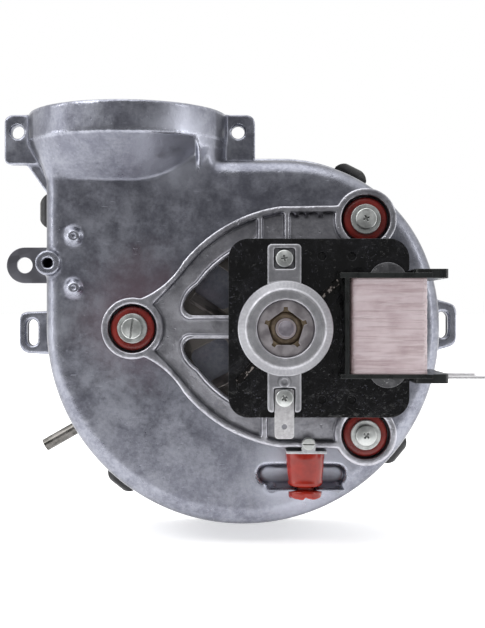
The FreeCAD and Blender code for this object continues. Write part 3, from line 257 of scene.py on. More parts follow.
def cast_metal(name, dark, light, grain=0.5, depth=0.03, rough=0.4, edge=0.0, wear_and_highlight=0.5, reach=0.22,
               housing=False):
    """Die-cast aluminium: mottled flow marks, a fine grain, pits, scratches, and bright edges that are partly
    wear and partly painted highlight. Corners and the upper part are darkened by painted shade. With no edge
    radius the edges come from soften(), full at a bend of reach."""
    s = Surface(name, metallic=0.92)
    speckle = s.noise(1.3, 4.0, 0.7)
    clouds = s.noise(26, 4.0, 0.6, bend=0.8)
    patches = s.noise(7, 5.0, 0.62)
    fine = s.noise(grain, 2.0)
    pits = s.ramp(s.cells(2.6), 0.16, 0.06)
    share = s.math("ADD", s.math("MULTIPLY", clouds, 0.7), s.math("MULTIPLY", patches, 0.55))
    share = s.math("ADD", share, s.math("MULTIPLY", s.math("SUBTRACT", speckle, 0.5), 0.45))
    colour = s.mix(s.ramp(share, 0.42, 0.85), dark, light)
    # On the housing: patches of painted light, and a real heat mark
    if housing:
        colour = housing_patches(s, colour, light, patches)
    # Painted shade: the colour gets a little darker towards the top, in ragged clouds, up to Z 58 mm; above
    # that it stays as it is.
    up = s.axes()["Z"]
    unshaded_share = s.ramp(s.math("ADD", up, s.math("MULTIPLY", clouds, 30)), 62, -30)
    unshaded_share = s.math("MAXIMUM", unshaded_share, s.ramp(up, 50, 58))
    colour = s.mix(unshaded_share, s.mix(0.10, colour, scaled(dark, 0.3)), colour)
    # On the housing: a painted line of shade behind the front edge
    if housing:
        colour = housing_shade_line(s, colour, dark)
    # Partly wear, partly painted highlight: outer edges and fillets are brightened, in patches.
    outer = s.edges(edge) if edge else s.ramp(s.worn(), 0.02, reach)
    touched = s.ramp(s.math("ADD", patches, s.math("MULTIPLY", speckle, 0.6)), 0.6, 0.95, 0.25, 1.0)
    rubbed = s.math("MULTIPLY", outer, touched)
    bright = scaled(light, 1.6)
    colour = s.mix(s.math("MULTIPLY", rubbed, wear_and_highlight), colour, bright)
    # Painted shade: corners found by ambient occlusion, and the inner corners that soften() measured, are
    # darkened.
    hollow = s.math("MULTIPLY", s.corners(2), 0.45)
    if not edge:
        hollow = s.math("MAXIMUM", hollow, s.ramp(s.worn(), -0.10, -0.60))
    colour = s.mix(s.math("MULTIPLY", hollow, 0.45), colour, scaled(dark, 0.45))
    marks = s.math("MAXIMUM", s.scratches(0.35, (0, 34, 12), 0.42), s.scratches(0.3, (20, -51, 40), 0.4))
    colour = s.mix(s.math("MULTIPLY", marks, 0.5), colour, bright)
    s.raise_by(fine, depth)
    s.raise_by(patches, depth * 4)
    s.raise_by(clouds, depth * 10)
    s.raise_by(pits, -depth * 1.2)
    s.raise_by(marks, -depth * 0.5)
    gloss = s.math("ADD", patches, s.math("MULTIPLY", rubbed, -0.5))
    return s.done(colour, s.ramp(gloss, 0.2, 0.8, rough - 0.1, rough + 0.14))


def sheet_metal(name, dark, light, flake=6.0, rough=0.3, metallic=1.0, edge=0.3):
    """Rolled or plated sheet: soft flakes, rolling lines and a few scratches."""
    s = Surface(name, metallic=metallic)
    flakes = s.cells(flake, output="Color")
    level = s.vector("DOT_PRODUCT", flakes, (0.33, 0.33, 0.33))
    clouds = s.noise(flake * 3, 4.0)
    lines = s.noise(0.25, 2.0, place=s.turned((0, 0, 0), (0.04, 1, 1)))
    share = s.math("ADD", s.math("MULTIPLY", level, 0.4), s.math("MULTIPLY", clouds, 0.6))
    colour = s.mix(s.ramp(share, 0.3, 0.7), dark, light)
    marks = s.scratches(0.3, (15, 63, 27), 0.42)
    bright = scaled(light, 1.3)
    colour = s.mix(s.math("MULTIPLY", marks, 0.5), colour, bright)
    colour = s.mix(s.math("MULTIPLY", s.edges(edge), 0.4), colour, bright)
    # Painted shade: darker in corners found by ambient occlusion.
    colour = s.mix(s.math("MULTIPLY", s.corners(3), 0.5), colour, scaled(dark, 0.4))
    s.raise_by(lines, 0.002)
    s.raise_by(clouds, 0.05)
    s.raise_by(marks, -0.01)
    return s.done(colour, s.ramp(share, 0.2, 0.8, rough, rough + 0.15))


def turned_metal(name, dark, light, rough=0.25, edge=0.2):
    """Turned or drawn metal with fine lathe lines across the Y axis."""
    s = Surface(name, metallic=1.0)
    lines = s.noise(0.18, 2.0, place=s.turned((0, 0, 0), (0.1, 1, 0.1)))
    clouds = s.noise(3.0, 4.0)
    colour = s.mix(s.ramp(clouds, 0.3, 0.7), dark, light)
    colour = s.mix(s.math("MULTIPLY", s.edges(edge), 0.6), colour, scaled(light, 1.25))
    # Painted shade: darker in corners found by ambient occlusion.
    colour = s.mix(s.math("MULTIPLY", s.corners(1.5), 0.7), colour, scaled(dark, 0.3))
    s.raise_by(lines, 0.002)
    s.raise_by(clouds, 0.01)
    return s.done(colour, s.ramp(clouds, 0.3, 0.8, rough, rough + 0.18))


def lacquered_steel(name, dark, light, rough=0.32):
    """Laminated sheet steel under black lacquer: runs, bare specks, and the sheets' edges as lines."""
    s = Surface(name, metallic=0.0, Specular_IOR_Level=0.4)
    sheets = s.bands(0.5, "Y")
    facing = s.vector("DOT_PRODUCT", s.add("ShaderNodeNewGeometry").outputs["Normal"], (0, 1, 0))
    stacked = s.math("MULTIPLY", sheets, s.ramp(s.math("ABSOLUTE", facing), 0.7, 0.3))
    clouds = s.noise(6, 5.0, 0.65, bend=0.9)
    specks = s.ramp(s.noise(0.8, 3.0, 0.6), 0.60, 0.68)
    bare = s.math("MULTIPLY", specks, s.ramp(s.noise(8, 2.0), 0.48, 0.60))
    colour = s.mix(s.ramp(clouds, 0.42, 0.72), dark, light)
    colour = s.mix(s.math("MULTIPLY", bare, 0.8), colour, scaled(light, 9))
    colour = s.mix(s.math("MULTIPLY", stacked, 0.5), colour, scaled(light, 2.2))
    colour = s.mix(s.math("MULTIPLY", s.edges(0.3), 0.6), colour, scaled(light, 4))
    s.raise_by(stacked, 0.05)
    s.raise_by(s.noise(4.5, 2.0, 0.4), 0.7)
    s.raise_by(s.ramp(s.noise(1.1, 2.0), 0.60, 0.75), 0.08)
    s.raise_by(clouds, 0.25)
    return s.done(colour, s.ramp(clouds, 0.3, 0.7, rough - 0.1, rough + 0.1))


def moulded(name, dark, light, rough=0.35, grain=0.15, soft=0.0, dust=0.25):
    """Moulded plastic or silicone: faint flow clouds, fine grain, pale dust and worn edges."""
    s = Surface(name)
    if soft:
        s.shader.inputs["Subsurface Weight"].default_value = soft
        s.shader.inputs["Subsurface Scale"].default_value = 1.2 * MM
    clouds = s.noise(4, 4.0, 0.6)
    fine = s.noise(0.3, 2.0)
    colour = s.mix(s.ramp(clouds, 0.3, 0.7), dark, light)
    pale = tuple(0.5 * c + 0.12 for c in light)
    specks = s.ramp(s.noise(0.7, 2.0), 0.68, 0.76)
    colour = s.mix(s.math("MULTIPLY", specks, dust), colour, pale)
    colour = s.mix(s.math("MULTIPLY", s.edges(0.3), 0.25), colour, pale)
    # Painted shade: darker in corners found by ambient occlusion.
    colour = s.mix(s.math("MULTIPLY", s.corners(2), 0.5), colour, scaled(dark, 0.4))
    s.raise_by(fine, grain * 0.1)
    s.raise_by(clouds, grain)
    return s.done(colour, s.ramp(clouds, 0.3, 0.7, rough, rough + 0.12))


def fibrous(name, dark, light, size=0.35):
    """Felt or fibre sheet: matted short strands."""
    s = Surface(name, Specular_IOR_Level=0.2)
    strands = s.noise(size, 5.0, 0.7, bend=2.0)
    clouds = s.noise(3, 3.0)
    colour = s.mix(s.ramp(strands, 0.35, 0.65), dark, light)
    colour = s.mix(s.math("MULTIPLY", s.ramp(clouds, 0.4, 0.7), 0.4), colour, scaled(dark, 0.6))
    s.raise_by(strands, 0.12)
    return s.done(colour, s.ramp(strands, 0.2, 0.8, 0.85, 0.95))


def tape_finish(name):
    """Glazed polyester winding tape: pale pink with the winding's bands showing through."""
    s = Surface(name, Specular_IOR_Level=0.55)
    clouds = s.noise(6, 4.0)
    creases = s.noise(1.6, 3.0, place=s.turned((0, 0, 3), (0.12, 1, 1)), bend=0.4)
    colour = s.mix(s.ramp(clouds, 0.3, 0.7), (0.44, 0.345, 0.365), (0.56, 0.465, 0.485))
    colour = s.mix(s.math("MULTIPLY", s.ramp(creases, 0.45, 0.62), 0.5), colour, (0.60, 0.52, 0.54))
    # Painted shade: darker in corners found by ambient occlusion.
    colour = s.mix(s.math("MULTIPLY", s.corners(2.5), 0.6), colour, (0.28, 0.16, 0.15))
    lines = s.noise(0.8, 2.0, place=s.turned((0, 0, 2), (0.06, 1, 1)))
    colour = s.mix(s.math("MULTIPLY", s.ramp(lines, 0.52, 0.38), 0.35), colour, (0.28, 0.20, 0.20))
    s.raise_by(creases, 0.16)
    s.raise_by(lines, 0.05)
    s.raise_by(s.noise(0.5, 2.0), 0.012)
    return s.done(colour, s.ramp(creases, 0.3, 0.7, 0.28, 0.45))


# A finish for each material slot of the record: its function, its darkest and lightest colour, and
# the settings that differ from the function's own.
FINISH_TABLE = {
    "cast_housing": (cast_metal, (0.17, 0.175, 0.215), (0.33, 0.34, 0.39),
                     dict(rough=0.36, wear_and_highlight=0.42, reach=0.2, housing=True)),
    "cast_bracket": (cast_metal, (0.26, 0.26, 0.29), (0.44, 0.44, 0.48), dict(grain=0.4, depth=0.06)),
    "cast_bridge": (cast_metal, (0.28, 0.28, 0.30), (0.40, 0.40, 0.425),
                    dict(grain=0.3, depth=0.02, rough=0.5, wear_and_highlight=0.6)),
    "cage_aluminium": (cast_metal, (0.45, 0.46, 0.48), (0.62, 0.63, 0.65),
                       dict(grain=0.3, depth=0.02, edge=0.3)),
    "zinc_sheet": (sheet_metal, (0.15, 0.15, 0.17), (0.25, 0.25, 0.28), dict(flake=5.0, rough=0.34)),
    "wheel_sheet": (sheet_metal, (0.52, 0.53, 0.55), (0.72, 0.73, 0.75), dict(flake=8.0, rough=0.28)),
    "fan_sheet": (sheet_metal, (0.12, 0.11, 0.105), (0.26, 0.24, 0.225), dict(flake=4.0, edge=0.45)),
    "clip_black": (sheet_metal, (0.012, 0.012, 0.013), (0.04, 0.04, 0.042),
                   dict(flake=4.0, metallic=0.4)),
    "tinned_brass": (sheet_metal, (0.66, 0.65, 0.67), (0.80, 0.79, 0.81), dict(flake=0.6, rough=0.36)),
    "screw_zinc": (turned_metal, (0.54, 0.56, 0.55), (0.76, 0.78, 0.77), dict(rough=0.3)),
    "shaft_steel": (turned_metal, (0.34, 0.31, 0.36), (0.55, 0.51, 0.57), dict(rough=0.28)),
    "bronze": (turned_metal, (0.34, 0.29, 0.29), (0.52, 0.46, 0.46), dict(rough=0.35)),
    "copper": (turned_metal, (0.55, 0.24, 0.12), (0.85, 0.45, 0.28), dict(rough=0.3)),
    "spring_steel": (turned_metal, (0.34, 0.31, 0.33), (0.52, 0.49, 0.51), dict(rough=0.34, edge=0.3)),
    "tube_brass": (turned_metal, (0.09, 0.087, 0.08), (0.20, 0.19, 0.18), dict(rough=0.2)),
    "lamination": (lacquered_steel, (0.002, 0.002, 0.0025), (0.008, 0.008, 0.010), dict(rough=0.2)),
    "rotor_steel": (lacquered_steel, (0.08, 0.08, 0.085), (0.2, 0.2, 0.21), dict(rough=0.4)),
    "bobbin_plastic": (moulded, (0.005, 0.006, 0.006), (0.012, 0.014, 0.014),
                       dict(rough=0.24, dust=0.06)),
    "silicone_brick": (moulded, (0.15, 0.010, 0.007), (0.25, 0.018, 0.012),
                       dict(rough=0.26, soft=0.1, dust=0.06)),
    "silicone_orange": (moulded, (0.26, 0.012, 0.004), (0.36, 0.018, 0.006),
                        dict(rough=0.08, grain=0.003, soft=0.03, dust=0.0)),
    "gasket_fibre": (fibrous, (0.035, 0.035, 0.035), (0.10, 0.10, 0.10), {}),
    "oil_felt": (fibrous, (0.13, 0.10, 0.065), (0.27, 0.21, 0.14), dict(size=0.4)),
}
FINISHES = {slot: make(slot, dark, light, **settings)
            for slot, (make, dark, light, settings) in FINISH_TABLE.items()}
FINISHES["coil_tape"] = tape_finish("coil_tape")


def oiled_bronze(name, ring):
    """Sintered bronze, brown with oil, rubbed bright next to the shaft."""
    s = Surface(name, metallic=0.85)
    pores = s.noise(0.35, 3.0, 0.6)
    flat = s.vector("MULTIPLY", s.place, (1, 0, 1))
    away = s.vector("DISTANCE", flat, (0, 0, 0))
    clouds = s.noise(2.5, 3.0)
    colour = s.mix(s.ramp(clouds, 0.35, 0.7), (0.15, 0.115, 0.08), (0.27, 0.21, 0.15))
    colour = s.mix(s.ramp(away, ring + 0.15, ring - 0.1), colour, (0.50, 0.44, 0.45))
    groove = s.ramp(s.math("ABSOLUTE", s.math("SUBTRACT", away, ring)), 0.2, 0.05)
    colour = s.mix(s.math("MULTIPLY", groove, 0.8), colour, (0.03, 0.025, 0.02))
    s.raise_by(pores, 0.03)
    s.raise_by(groove, -0.15)
    return s.done(colour, s.ramp(pores, 0.3, 0.7, 0.28, 0.45))


def varnished_copper(name):
    """Copper bar dipped in the motor's black varnish, bare in a few spots. The pale spots are partly bare
    copper and partly painted highlight, standing in for glints.
    """
    s = Surface(name, metallic=0.6)
    film = s.ramp(s.noise(1.6, 3.0, 0.6), 0.54, 0.62)
    # Partly wear, partly painted highlight: pale spots in the dark varnish.
    colour = s.mix(film, (0.010, 0.009, 0.009), (0.34, 0.30, 0.28))
    s.raise_by(s.noise(1.5, 3.0), 0.1)
    return s.done(colour, s.ramp(film, 0.0, 1.0, 0.2, 0.35))


# Nodes with a finish of their own.
SPECIAL = {
    "front_bearing": oiled_bronze("front_bronze", 3.35),
    "rear_bearing": oiled_bronze("rear_bronze", 3.35),
    "buffer_hanger": sheet_metal("bright_strip", (0.50, 0.51, 0.53), (0.68, 0.69, 0.71), 1.2, 0.28),
    "shading_ring_upper": varnished_copper("shading_copper"),
    "shading_ring_lower": varnished_copper("shading_copper_lower"),
    "coil_core_leg": lacquered_steel("bare_lamination", (0.07, 0.07, 0.075), (0.16, 0.16, 0.17), 0.4),
}


def finish_frame():
    """Gives every CAD node the finish that its record slot names."""
    for part in frame["record"]["subparts"]:
        for holder in frame["nodes"][part["node"]].material_slots:
            holder.material = SPECIAL.get(part["node"]) or FINISHES[part["material_slot"]]


# ---------------------------------------------------------------- mesh tools


SLOT_OF = {part["node"]: part["material_slot"] for part in frame["record"]["subparts"]}
BODIES = frame["record"]["behaviour"]["bodies"]
BODY_OF = {node: body for body, nodes in BODIES.items() for node in nodes}


def show(name, mesh, node):
    """Puts a mesh in the scene as the piece that stands for a CAD node."""
    for face in mesh.polygons:
        face.use_smooth = True
    piece = bpy.data.objects.new(name, mesh)
    bpy.context.scene.collection.objects.link(piece)
    mesh.materials.clear()
    mesh.materials.append(SPECIAL.get(node) or FINISHES[SLOT_OF[node]])
    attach(piece, BODY_OF[node])
    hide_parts(node)
    return piece


def to_mesh(name, shape):
    """Ends a bmesh and returns it as a mesh."""
    bmesh.ops.recalc_face_normals(shape, faces=shape.faces)
    mesh = bpy.data.meshes.new(name)
    shape.to_mesh(mesh)
    shape.free()
    return mesh


def baked(holder):
    """The object's mesh with its modifiers applied; the object is removed."""
    bpy.context.view_layer.update()
    graph = bpy.context.evaluated_depsgraph_get()
    mesh = bpy.data.meshes.new_from_object(holder.evaluated_get(graph), depsgraph=graph)
    bpy.data.objects.remove(holder)
    return mesh


def holder_of(mesh):
    """An object in the scene that carries the mesh while it is worked on."""
    holder = bpy.data.objects.new("work", mesh)
    bpy.context.scene.collection.objects.link(holder)
    return holder


def relaxed(points, edges, passes):
    """Points pulled halfway to the mean of their neighbours, several times."""
    first, second = edges[:, 0], edges[:, 1]
    count = len(points)
    ends = np.bincount(first, minlength=count) + np.bincount(second, minlength=count)
    ends = np.maximum(ends, 1)
    for _ in range(passes):
        total = np.empty_like(points)
        for axis in range(3):
            column = points[:, axis]
            total[:, axis] = np.bincount(first, column[second], count)
            total[:, axis] += np.bincount(second, column[first], count)
        points = 0.5 * points + 0.5 * total / ends[:, None]
    return points


def melted(soft, edges, cell, melt):
    """Points drawn together round the place melt, and each point's share in that, 0 to 1."""
    centre, radius = melt
    away = np.linalg.norm(soft / MM - centre, axis=1)
    share = np.clip(1.6 * (1 - away / radius), 0, 1)
    passes = int(9 / cell ** 2)
    return soft + (relaxed(soft, edges, passes) - soft) * share[:, None], share


def soften(node, name, cell, passes, keep, melt=None):
    """A casting's real skin: the CAD solid cut into small cells, with its edges and corners
    rounded, and that share of its faces kept. It notes on each point how much the skin bends
    there, in 1/mm. Round the place melt, given as (centre, radius) in millimetres, the shapes run
    into each other."""
    shape = bmesh.new()
    shape.from_mesh(frame["nodes"][node].data)
    bmesh.ops.remove_doubles(shape, verts=shape.verts, dist=0.002 * MM)
    holder = holder_of(to_mesh("whole", shape))
    remesh = holder.modifiers.new("cells", "REMESH")
    remesh.mode = "VOXEL"
    remesh.voxel_size = cell * MM
    mesh = baked(holder)
    count = len(mesh.vertices)
    points = np.empty(count * 3, np.float32)
    mesh.vertices.foreach_get("co", points)
    edges = np.empty(len(mesh.edges) * 2, np.int32)
    mesh.edges.foreach_get("vertices", edges)
    points, edges = points.reshape(-1, 3).astype(float), edges.reshape(-1, 2)
    even = relaxed(points, edges, 2)
    soft = relaxed(even, edges, passes)
    share = np.zeros(count)
    if melt:
        soft, share = melted(soft, edges, cell, melt)
    mesh.vertices.foreach_set("co", soft.astype(np.float32).ravel())
    mesh.update()
    normals = np.empty(count * 3, np.float32)
    mesh.vertices.foreach_get("normal", normals)
    moved = ((even - soft) * normals.reshape(-1, 3)).sum(1) / MM
    bend = moved / (passes * cell ** 2 / 8) * (1 - share)
    worn = mesh.attributes.new("worn", "FLOAT", "POINT")
    worn.data.foreach_set("value", bend.astype(np.float32))
    holder = holder_of(mesh)
    thin = holder.modifiers.new("thin", "DECIMATE")
    thin.ratio = keep
    return show(name, baked(holder), node)


def lathe(profile, steps=72):
    """A closed (radius, height) profile turned about the local Z axis."""
    shape = bmesh.new()
    rings = []
    for step in range(steps):
        angle = 2 * math.pi * step / steps
        cos, sin = math.cos(angle), math.sin(angle)
        rings.append([shape.verts.new((r * cos * MM, r * sin * MM, h * MM)) for r, h in profile])
    for step in range(steps):
        here, there = rings[step], rings[(step + 1) % steps]
        for index in range(len(profile)):
            follow = (index + 1) % len(profile)
            shape.faces.new((here[index], there[index], there[follow], here[follow]))
    bmesh.ops.remove_doubles(shape, verts=shape.verts, dist=0.0001 * MM)
    return shape


def arc(centre, radius, start, end, steps=6):
    """Points on an arc in the profile plane, angles in degrees."""
    angles = [math.radians(start + (end - start) * i / steps) for i in range(steps + 1)]
    return [(centre[0] + radius * math.cos(a), centre[1] + radius * math.sin(a)) for a in angles]


def facing_front(place, turn=0.0):
    """Local Z to the front (-Y), at a place given in metres, turned about its own axis."""
    forward = Matrix.Rotation(math.radians(90), 4, "X")
    return Matrix.Translation(place) @ forward @ Matrix.Rotation(turn, 4, "Z")


def middle_of(node):
    """The middle of a CAD node's box, in metres."""
    low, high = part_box(node)
    return (low + high) / 2


# ---------------------------------------------------------------- castings


# Where the scoop's right end melts into the collar: the middle and the radius in millimetres.
SCOOP_END = ((-24.5, -63, 60.5), 13)


def make_castings():
    soften("front_housing", "housing_casting", 0.55, 6, 0.3, SCOOP_END)
    soften("motor_bracket", "bracket_casting", 0.36, 5, 0.35)
    soften("front_bridge", "bridge_casting", 0.28, 2, 0.4)


# ---------------------------------------------------------------- screws and washers


def recess_tool(radius, rise, slotted):
    """The shape that cuts a head's recess: one long bar for a slot, or two that taper for a cross."""
    tool = bmesh.new()
    depth = 0.8 if slotted else 1.0
    reach = 5.0 if slotted else min(1.55, radius * 0.5)
    half = 0.42 if slotted else 0.36
    for angle in (0,) if slotted else (0, 90):
        box = bmesh.ops.create_cube(tool, size=2)["verts"]
        for vertex in box:
            top = vertex.co.z > 0
            vertex.co.x *= reach * MM * (1.0 if top or slotted else 0.45)
            vertex.co.y *= half * MM * (1.0 if top else 0.8)
            vertex.co.z = (rise + 0.5 if top else rise - depth) * MM
        turn = Matrix.Rotation(math.radians(angle), 3, "Z")
        bmesh.ops.rotate(tool, verts=box, cent=(0, 0, 0), matrix=turn)
    return to_mesh("recess", tool)


def screw(name, radius, rise, shank, length, slotted=False):
    """A pan head screw with its seat at height 0: domed head, pressed recess, plain shank."""
    crown = [(radius * t, rise * (0.8 + 0.2 * math.cos(t * math.pi / 2))) for t in (0.87, 0.75, 0.55, 0.3, 0)]
    rim = arc((radius - 0.4, rise * 0.66), 0.4, 0, 60, 4)
    profile = [(0, -length), (shank - 0.3, -length), (shank, -length + 0.5), (shank, 0), (radius - 0.15, 0),
               (radius, 0.15)] + rim + crown
    head = holder_of(to_mesh("head", lathe(profile, 48)))
    cutter = holder_of(recess_tool(radius, rise, slotted))
    recess = head.modifiers.new("recess", "BOOLEAN")
    recess.operation = "DIFFERENCE"
    recess.object = cutter
    recess.use_self = True
    mesh = baked(head)
    bpy.data.objects.remove(cutter)
    mesh.name = name
    return mesh


def joined(name, parts, node):
    """Several (mesh, matrix) parts as one piece for a CAD node."""
    whole = bmesh.new()
    for mesh, matrix in parts:
        copy = mesh.copy()
        copy.transform(matrix)
        whole.from_mesh(copy)
        bpy.data.meshes.remove(copy)
    mesh = bpy.data.meshes.new(name)
    whole.to_mesh(mesh)
    whole.free()
    piece = show(name, mesh, node)
    mesh.set_sharp_from_angle(angle=math.radians(38))
    return piece


# The bracket's feet, each with the turn of its screw's recess in degrees. The left one is slotted.
FEET = {"grommet_left": 82, "grommet_upper_right": 24, "grommet_lower_right": 50}
SLOTTED_FOOT = "grommet_left"
# The M4 shank's radius, and a washer's radii and thickness, in millimetres.
SHANK = 1.98
WASHER_OUTER, WASHER_INNER, WASHER_THICK = 5.35, 2.2, 0.98


def make_bracket_screws():
    """The bracket's three screws on their flat washers."""
    cross = screw("cross", radius=3.7, rise=2.0, shank=SHANK, length=18.0)
    slotted = screw("slotted", radius=3.7, rise=2.0, shank=SHANK, length=18.0, slotted=True)
    profile = [(WASHER_INNER, 0), (WASHER_OUTER - 0.2, 0)] \
        + arc((WASHER_OUTER - 0.25, WASHER_THICK / 2), 0.25, -60, 60) \
        + [(WASHER_OUTER - 0.2, WASHER_THICK), (WASHER_INNER + 0.15, WASHER_THICK),
           (WASHER_INNER, WASHER_THICK - 0.15)]
    washer = to_mesh("washer", lathe(profile))
    under = Vector((0, (WASHER_THICK + 0.01) * MM, 0))
    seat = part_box("mounting_washers")[0].y
    screws, washers = [], []
    for foot, turn in FEET.items():
        centre = middle_of(foot)
        place = Vector((centre.x, seat, centre.z))
        mesh = slotted if foot == SLOTTED_FOOT else cross
        screws.append((mesh, facing_front(place, math.radians(turn))))
        washers.append((washer, facing_front(place + under)))
    joined("bracket_screws", screws, "mounting_screws")
    joined("flat_washers", washers, "mounting_washers")


def make_motor_screws():
    """The two long screws through bridge and core. The lower one also holds the earth tab."""
    # The bridge's face and the earth tab's thickness, and a head's middle from the box's edge.
    bridge_face, tab_thick = 107.3, 0.8
    head_in = 2.9 * MM
    mesh = screw("motor", radius=2.85, rise=2.1, shank=SHANK, length=34.0)
    low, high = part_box("motor_screws")
    upper = Vector((0, -bridge_face * MM, high.z - head_in))
    lower = Vector((0, -(bridge_face + tab_thick) * MM, low.z + head_in))
    places = ((upper, 12), (lower, 33))
    screws = [(mesh, facing_front(place, math.radians(turn))) for place, turn in places]
    joined("long_screws", screws, "motor_screws")


# ---------------------------------------------------------------- rubber


def make_grommets():
    """Each grommet is two round-lipped flanges on a neck, with a bead round the front one."""
    inner, neck = 3.05, 5.22
    rear_flange, front_flange = 2.05, 2.48
    for index, foot in enumerate(FEET):
        low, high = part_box(foot)
        centre = (low + high) / 2
        outer = (high.x - low.x) / 2 / MM - 0.02
        deep = (high.y - low.y) / MM
        front = deep - front_flange
        face = deep - 0.45
        profile = [(inner, 0.02), (outer - 0.8, 0.02)] \
            + arc((outer - 0.8, rear_flange - 0.9), 0.8, -70, 80) \
            + [(neck + 0.2, rear_flange), (neck, rear_flange + 0.2)] \
            + [(neck, front - 0.2), (neck + 0.2, front)] \
            + arc((outer - 0.9, front + 0.95), 0.9, -80, 60) \
            + [(outer - 1.35, deep - 0.35), (outer - 2.1, deep - 0.5), (inner + 2.5, face), (inner, face)]
        mesh = to_mesh("grommet", lathe(profile))
        mesh.transform(facing_front(Vector((centre.x, high.y, centre.z)), index))
        show("soft_" + foot, mesh, foot)


def make_buffer():
    """The silicone cup: slightly hollow sides, soft lower edge, short neck, wavy foot."""
    low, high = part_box("stop_buffer")
    centre = (low + high) / 2
    radius = (high.x - low.x) / 2 / MM
    foot_start = 15.0
    foot_radius = 6.0

    def up(outline):
        """Points given as (radius, distance below the top) as points of the profile."""
        return [(out, high.z / MM - below) for out, below in outline]

    def bend(middle, bend_radius, start, end, steps):
        return arc(*up([middle]), bend_radius, start, end, steps)

    profile = up([(0, 0.02), (radius - 0.5, 0.02)]) + bend((radius - 0.45, 0.5), 0.42, 80, 0, 4) \
        + up([(radius - 0.22, 3.5), (radius - 0.5, 7.0), (radius - 0.9, 10.2)]) \
        + bend((radius - 2.1, 11.3), 1.35, 10, -75, 6) \
        + up([(3.1, 12.85), (3.05, 13.5), (3.3, 13.95), (4.9, 14.0)]) \
        + bend((5.35, 14.7), 0.7, 80, 0, 4) + up([(6.05, 15.8)]) \
        + bend((4.9, 16.1), 1.1, -10, -70, 5) + up([(3.0, 17.25), (0, 17.1)])
    shape = lathe(profile, 96)
    for vertex in shape.verts:
        if vertex.co.z < high.z - foot_start * MM:
            angle = math.atan2(vertex.co.y, vertex.co.x)
            reach = math.hypot(vertex.co.x, vertex.co.y) / (foot_radius * MM)
            wave = 0.22 * math.cos(5 * angle + 0.6) + 0.12 * math.cos(9 * angle)
            notch = 0.7 * math.exp(-((angle + math.pi / 2) / 0.12) ** 2)
            vertex.co.z += (0.25 + wave + notch) * reach * MM
    mesh = to_mesh("buffer", shape)
    mesh.transform(Matrix.Translation(Vector((centre.x, centre.y, 0))))
    show("silicone_buffer", mesh, "stop_buffer")


# ---------------------------------------------------------------- coil tape


# The loop of tape, in millimetres: its corner radius, how far it lies inside the CAD outline so
# that its bulges stay inside too, its thickness, and the number of steps around and up.
TAPE_CORNER, TAPE_MARGIN, TAPE_THICK = 2.4, 0.3, 0.5
TAPE_AROUND, TAPE_UP = 420, 190


def loop_point(distance, left, right, back, front):
    """Point and outward direction in the (X, depth) plane, at a distance along the rounded loop
    that starts at the middle of its front."""
    size = (right - left, front - back)
    run = [length - 2 * TAPE_CORNER for length in size]
    corner = math.pi / 2 * TAPE_CORNER
    distance = (distance + run[0] / 2) % (2 * sum(run) + 4 * corner)
    for side, (nx, nd) in enumerate(((0, 1), (1, 0), (0, -1), (-1, 0))):
        length = run[side % 2]
        along = (nd, -nx)
        middle = ((left + right) / 2 + nx * size[0] / 2, (front + back) / 2 + nd * size[1] / 2)
        if distance <= length:
            t = distance - length / 2
            return (middle[0] + along[0] * t, middle[1] + along[1] * t), (nx, nd)
        distance -= length
        if distance <= corner:
            cos, sin = math.cos(distance / TAPE_CORNER), math.sin(distance / TAPE_CORNER)
            away = (nx * cos + along[0] * sin, nd * cos + along[1] * sin)
            return (middle[0] + along[0] * length / 2 + (away[0] - nx) * TAPE_CORNER,
                    middle[1] + along[1] * length / 2 + (away[1] - nd) * TAPE_CORNER), away
        distance -= corner
    return loop_point(-run[0] / 2, left, right, back, front)


def tape_relief(distance, height, bottom, half_front):
    """How far the tape bulges or sinks in millimetres, at a distance along the loop and a height,
    over its lower edge at bottom. One end of the tape crosses the front at a slant and stands up."""
    band_height, fold_start, fold_slope = 2.4, 5.5, 0.22
    wide = noise.noise(Vector((distance * 0.05, height * 0.9, 3.1)))
    ridges = noise.noise(Vector((distance * 0.09, height * 2.3, 7.7)))
    band = abs(((height - bottom) / band_height + 0.08 * wide) % 1.0 - 0.5)
    seam = -0.10 * math.exp(-(band / 0.05) ** 2)
    step = 0.12
    if abs(distance) < half_front + 2:
        fold = bottom + fold_start + fold_slope * (distance + half_front) + 0.5 * wide
        step /= 1 + math.exp(-(height - fold) / 0.12)
    return 0.10 * wide + 0.06 * ridges + seam + step - TAPE_MARGIN


def make_tape():
    """Winding tape drawn tight round the coil: a rounded loop with bands, creases and one fold."""
    low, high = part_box("coil_tape")
    left, right, back, front = low.x / MM, high.x / MM, -high.y / MM, -low.y / MM
    bottom, top = low.z / MM, high.z / MM
    half_front = (right - left) / 2 - TAPE_CORNER
    half_side = (front - back) / 2 - TAPE_CORNER
    total = 4 * (half_front + half_side) + 2 * math.pi * TAPE_CORNER
    shape = bmesh.new()

    def ring(height, push):
        """The loop at a height, pushed out by push(distance)."""
        points = []
        for column in range(TAPE_AROUND):
            distance = (column / TAPE_AROUND - 0.5) * total
            (x, depth), (nx, nd) = loop_point(distance, left, right, back, front)
            out = push(distance)
            points.append(shape.verts.new(((x + nx * out) * MM, -(depth + nd * out) * MM, height * MM)))
        return points

    grid = []
    for row in range(TAPE_UP + 1):
        height = bottom + (top - bottom) * row / TAPE_UP
        grid.append(ring(height, lambda distance: tape_relief(distance, height, bottom, half_front)))
    for height in (top, bottom):
        grid.append(ring(height, lambda distance: -TAPE_MARGIN - TAPE_THICK))
    for row in range(len(grid)):
        lower, upper = grid[row], grid[(row + 1) % len(grid)]
        for column in range(TAPE_AROUND):
            follow = (column + 1) % TAPE_AROUND
            shape.faces.new((lower[column], lower[follow], upper[follow], upper[column]))
    show("winding_tape", to_mesh("tape", shape), "coil_tape")


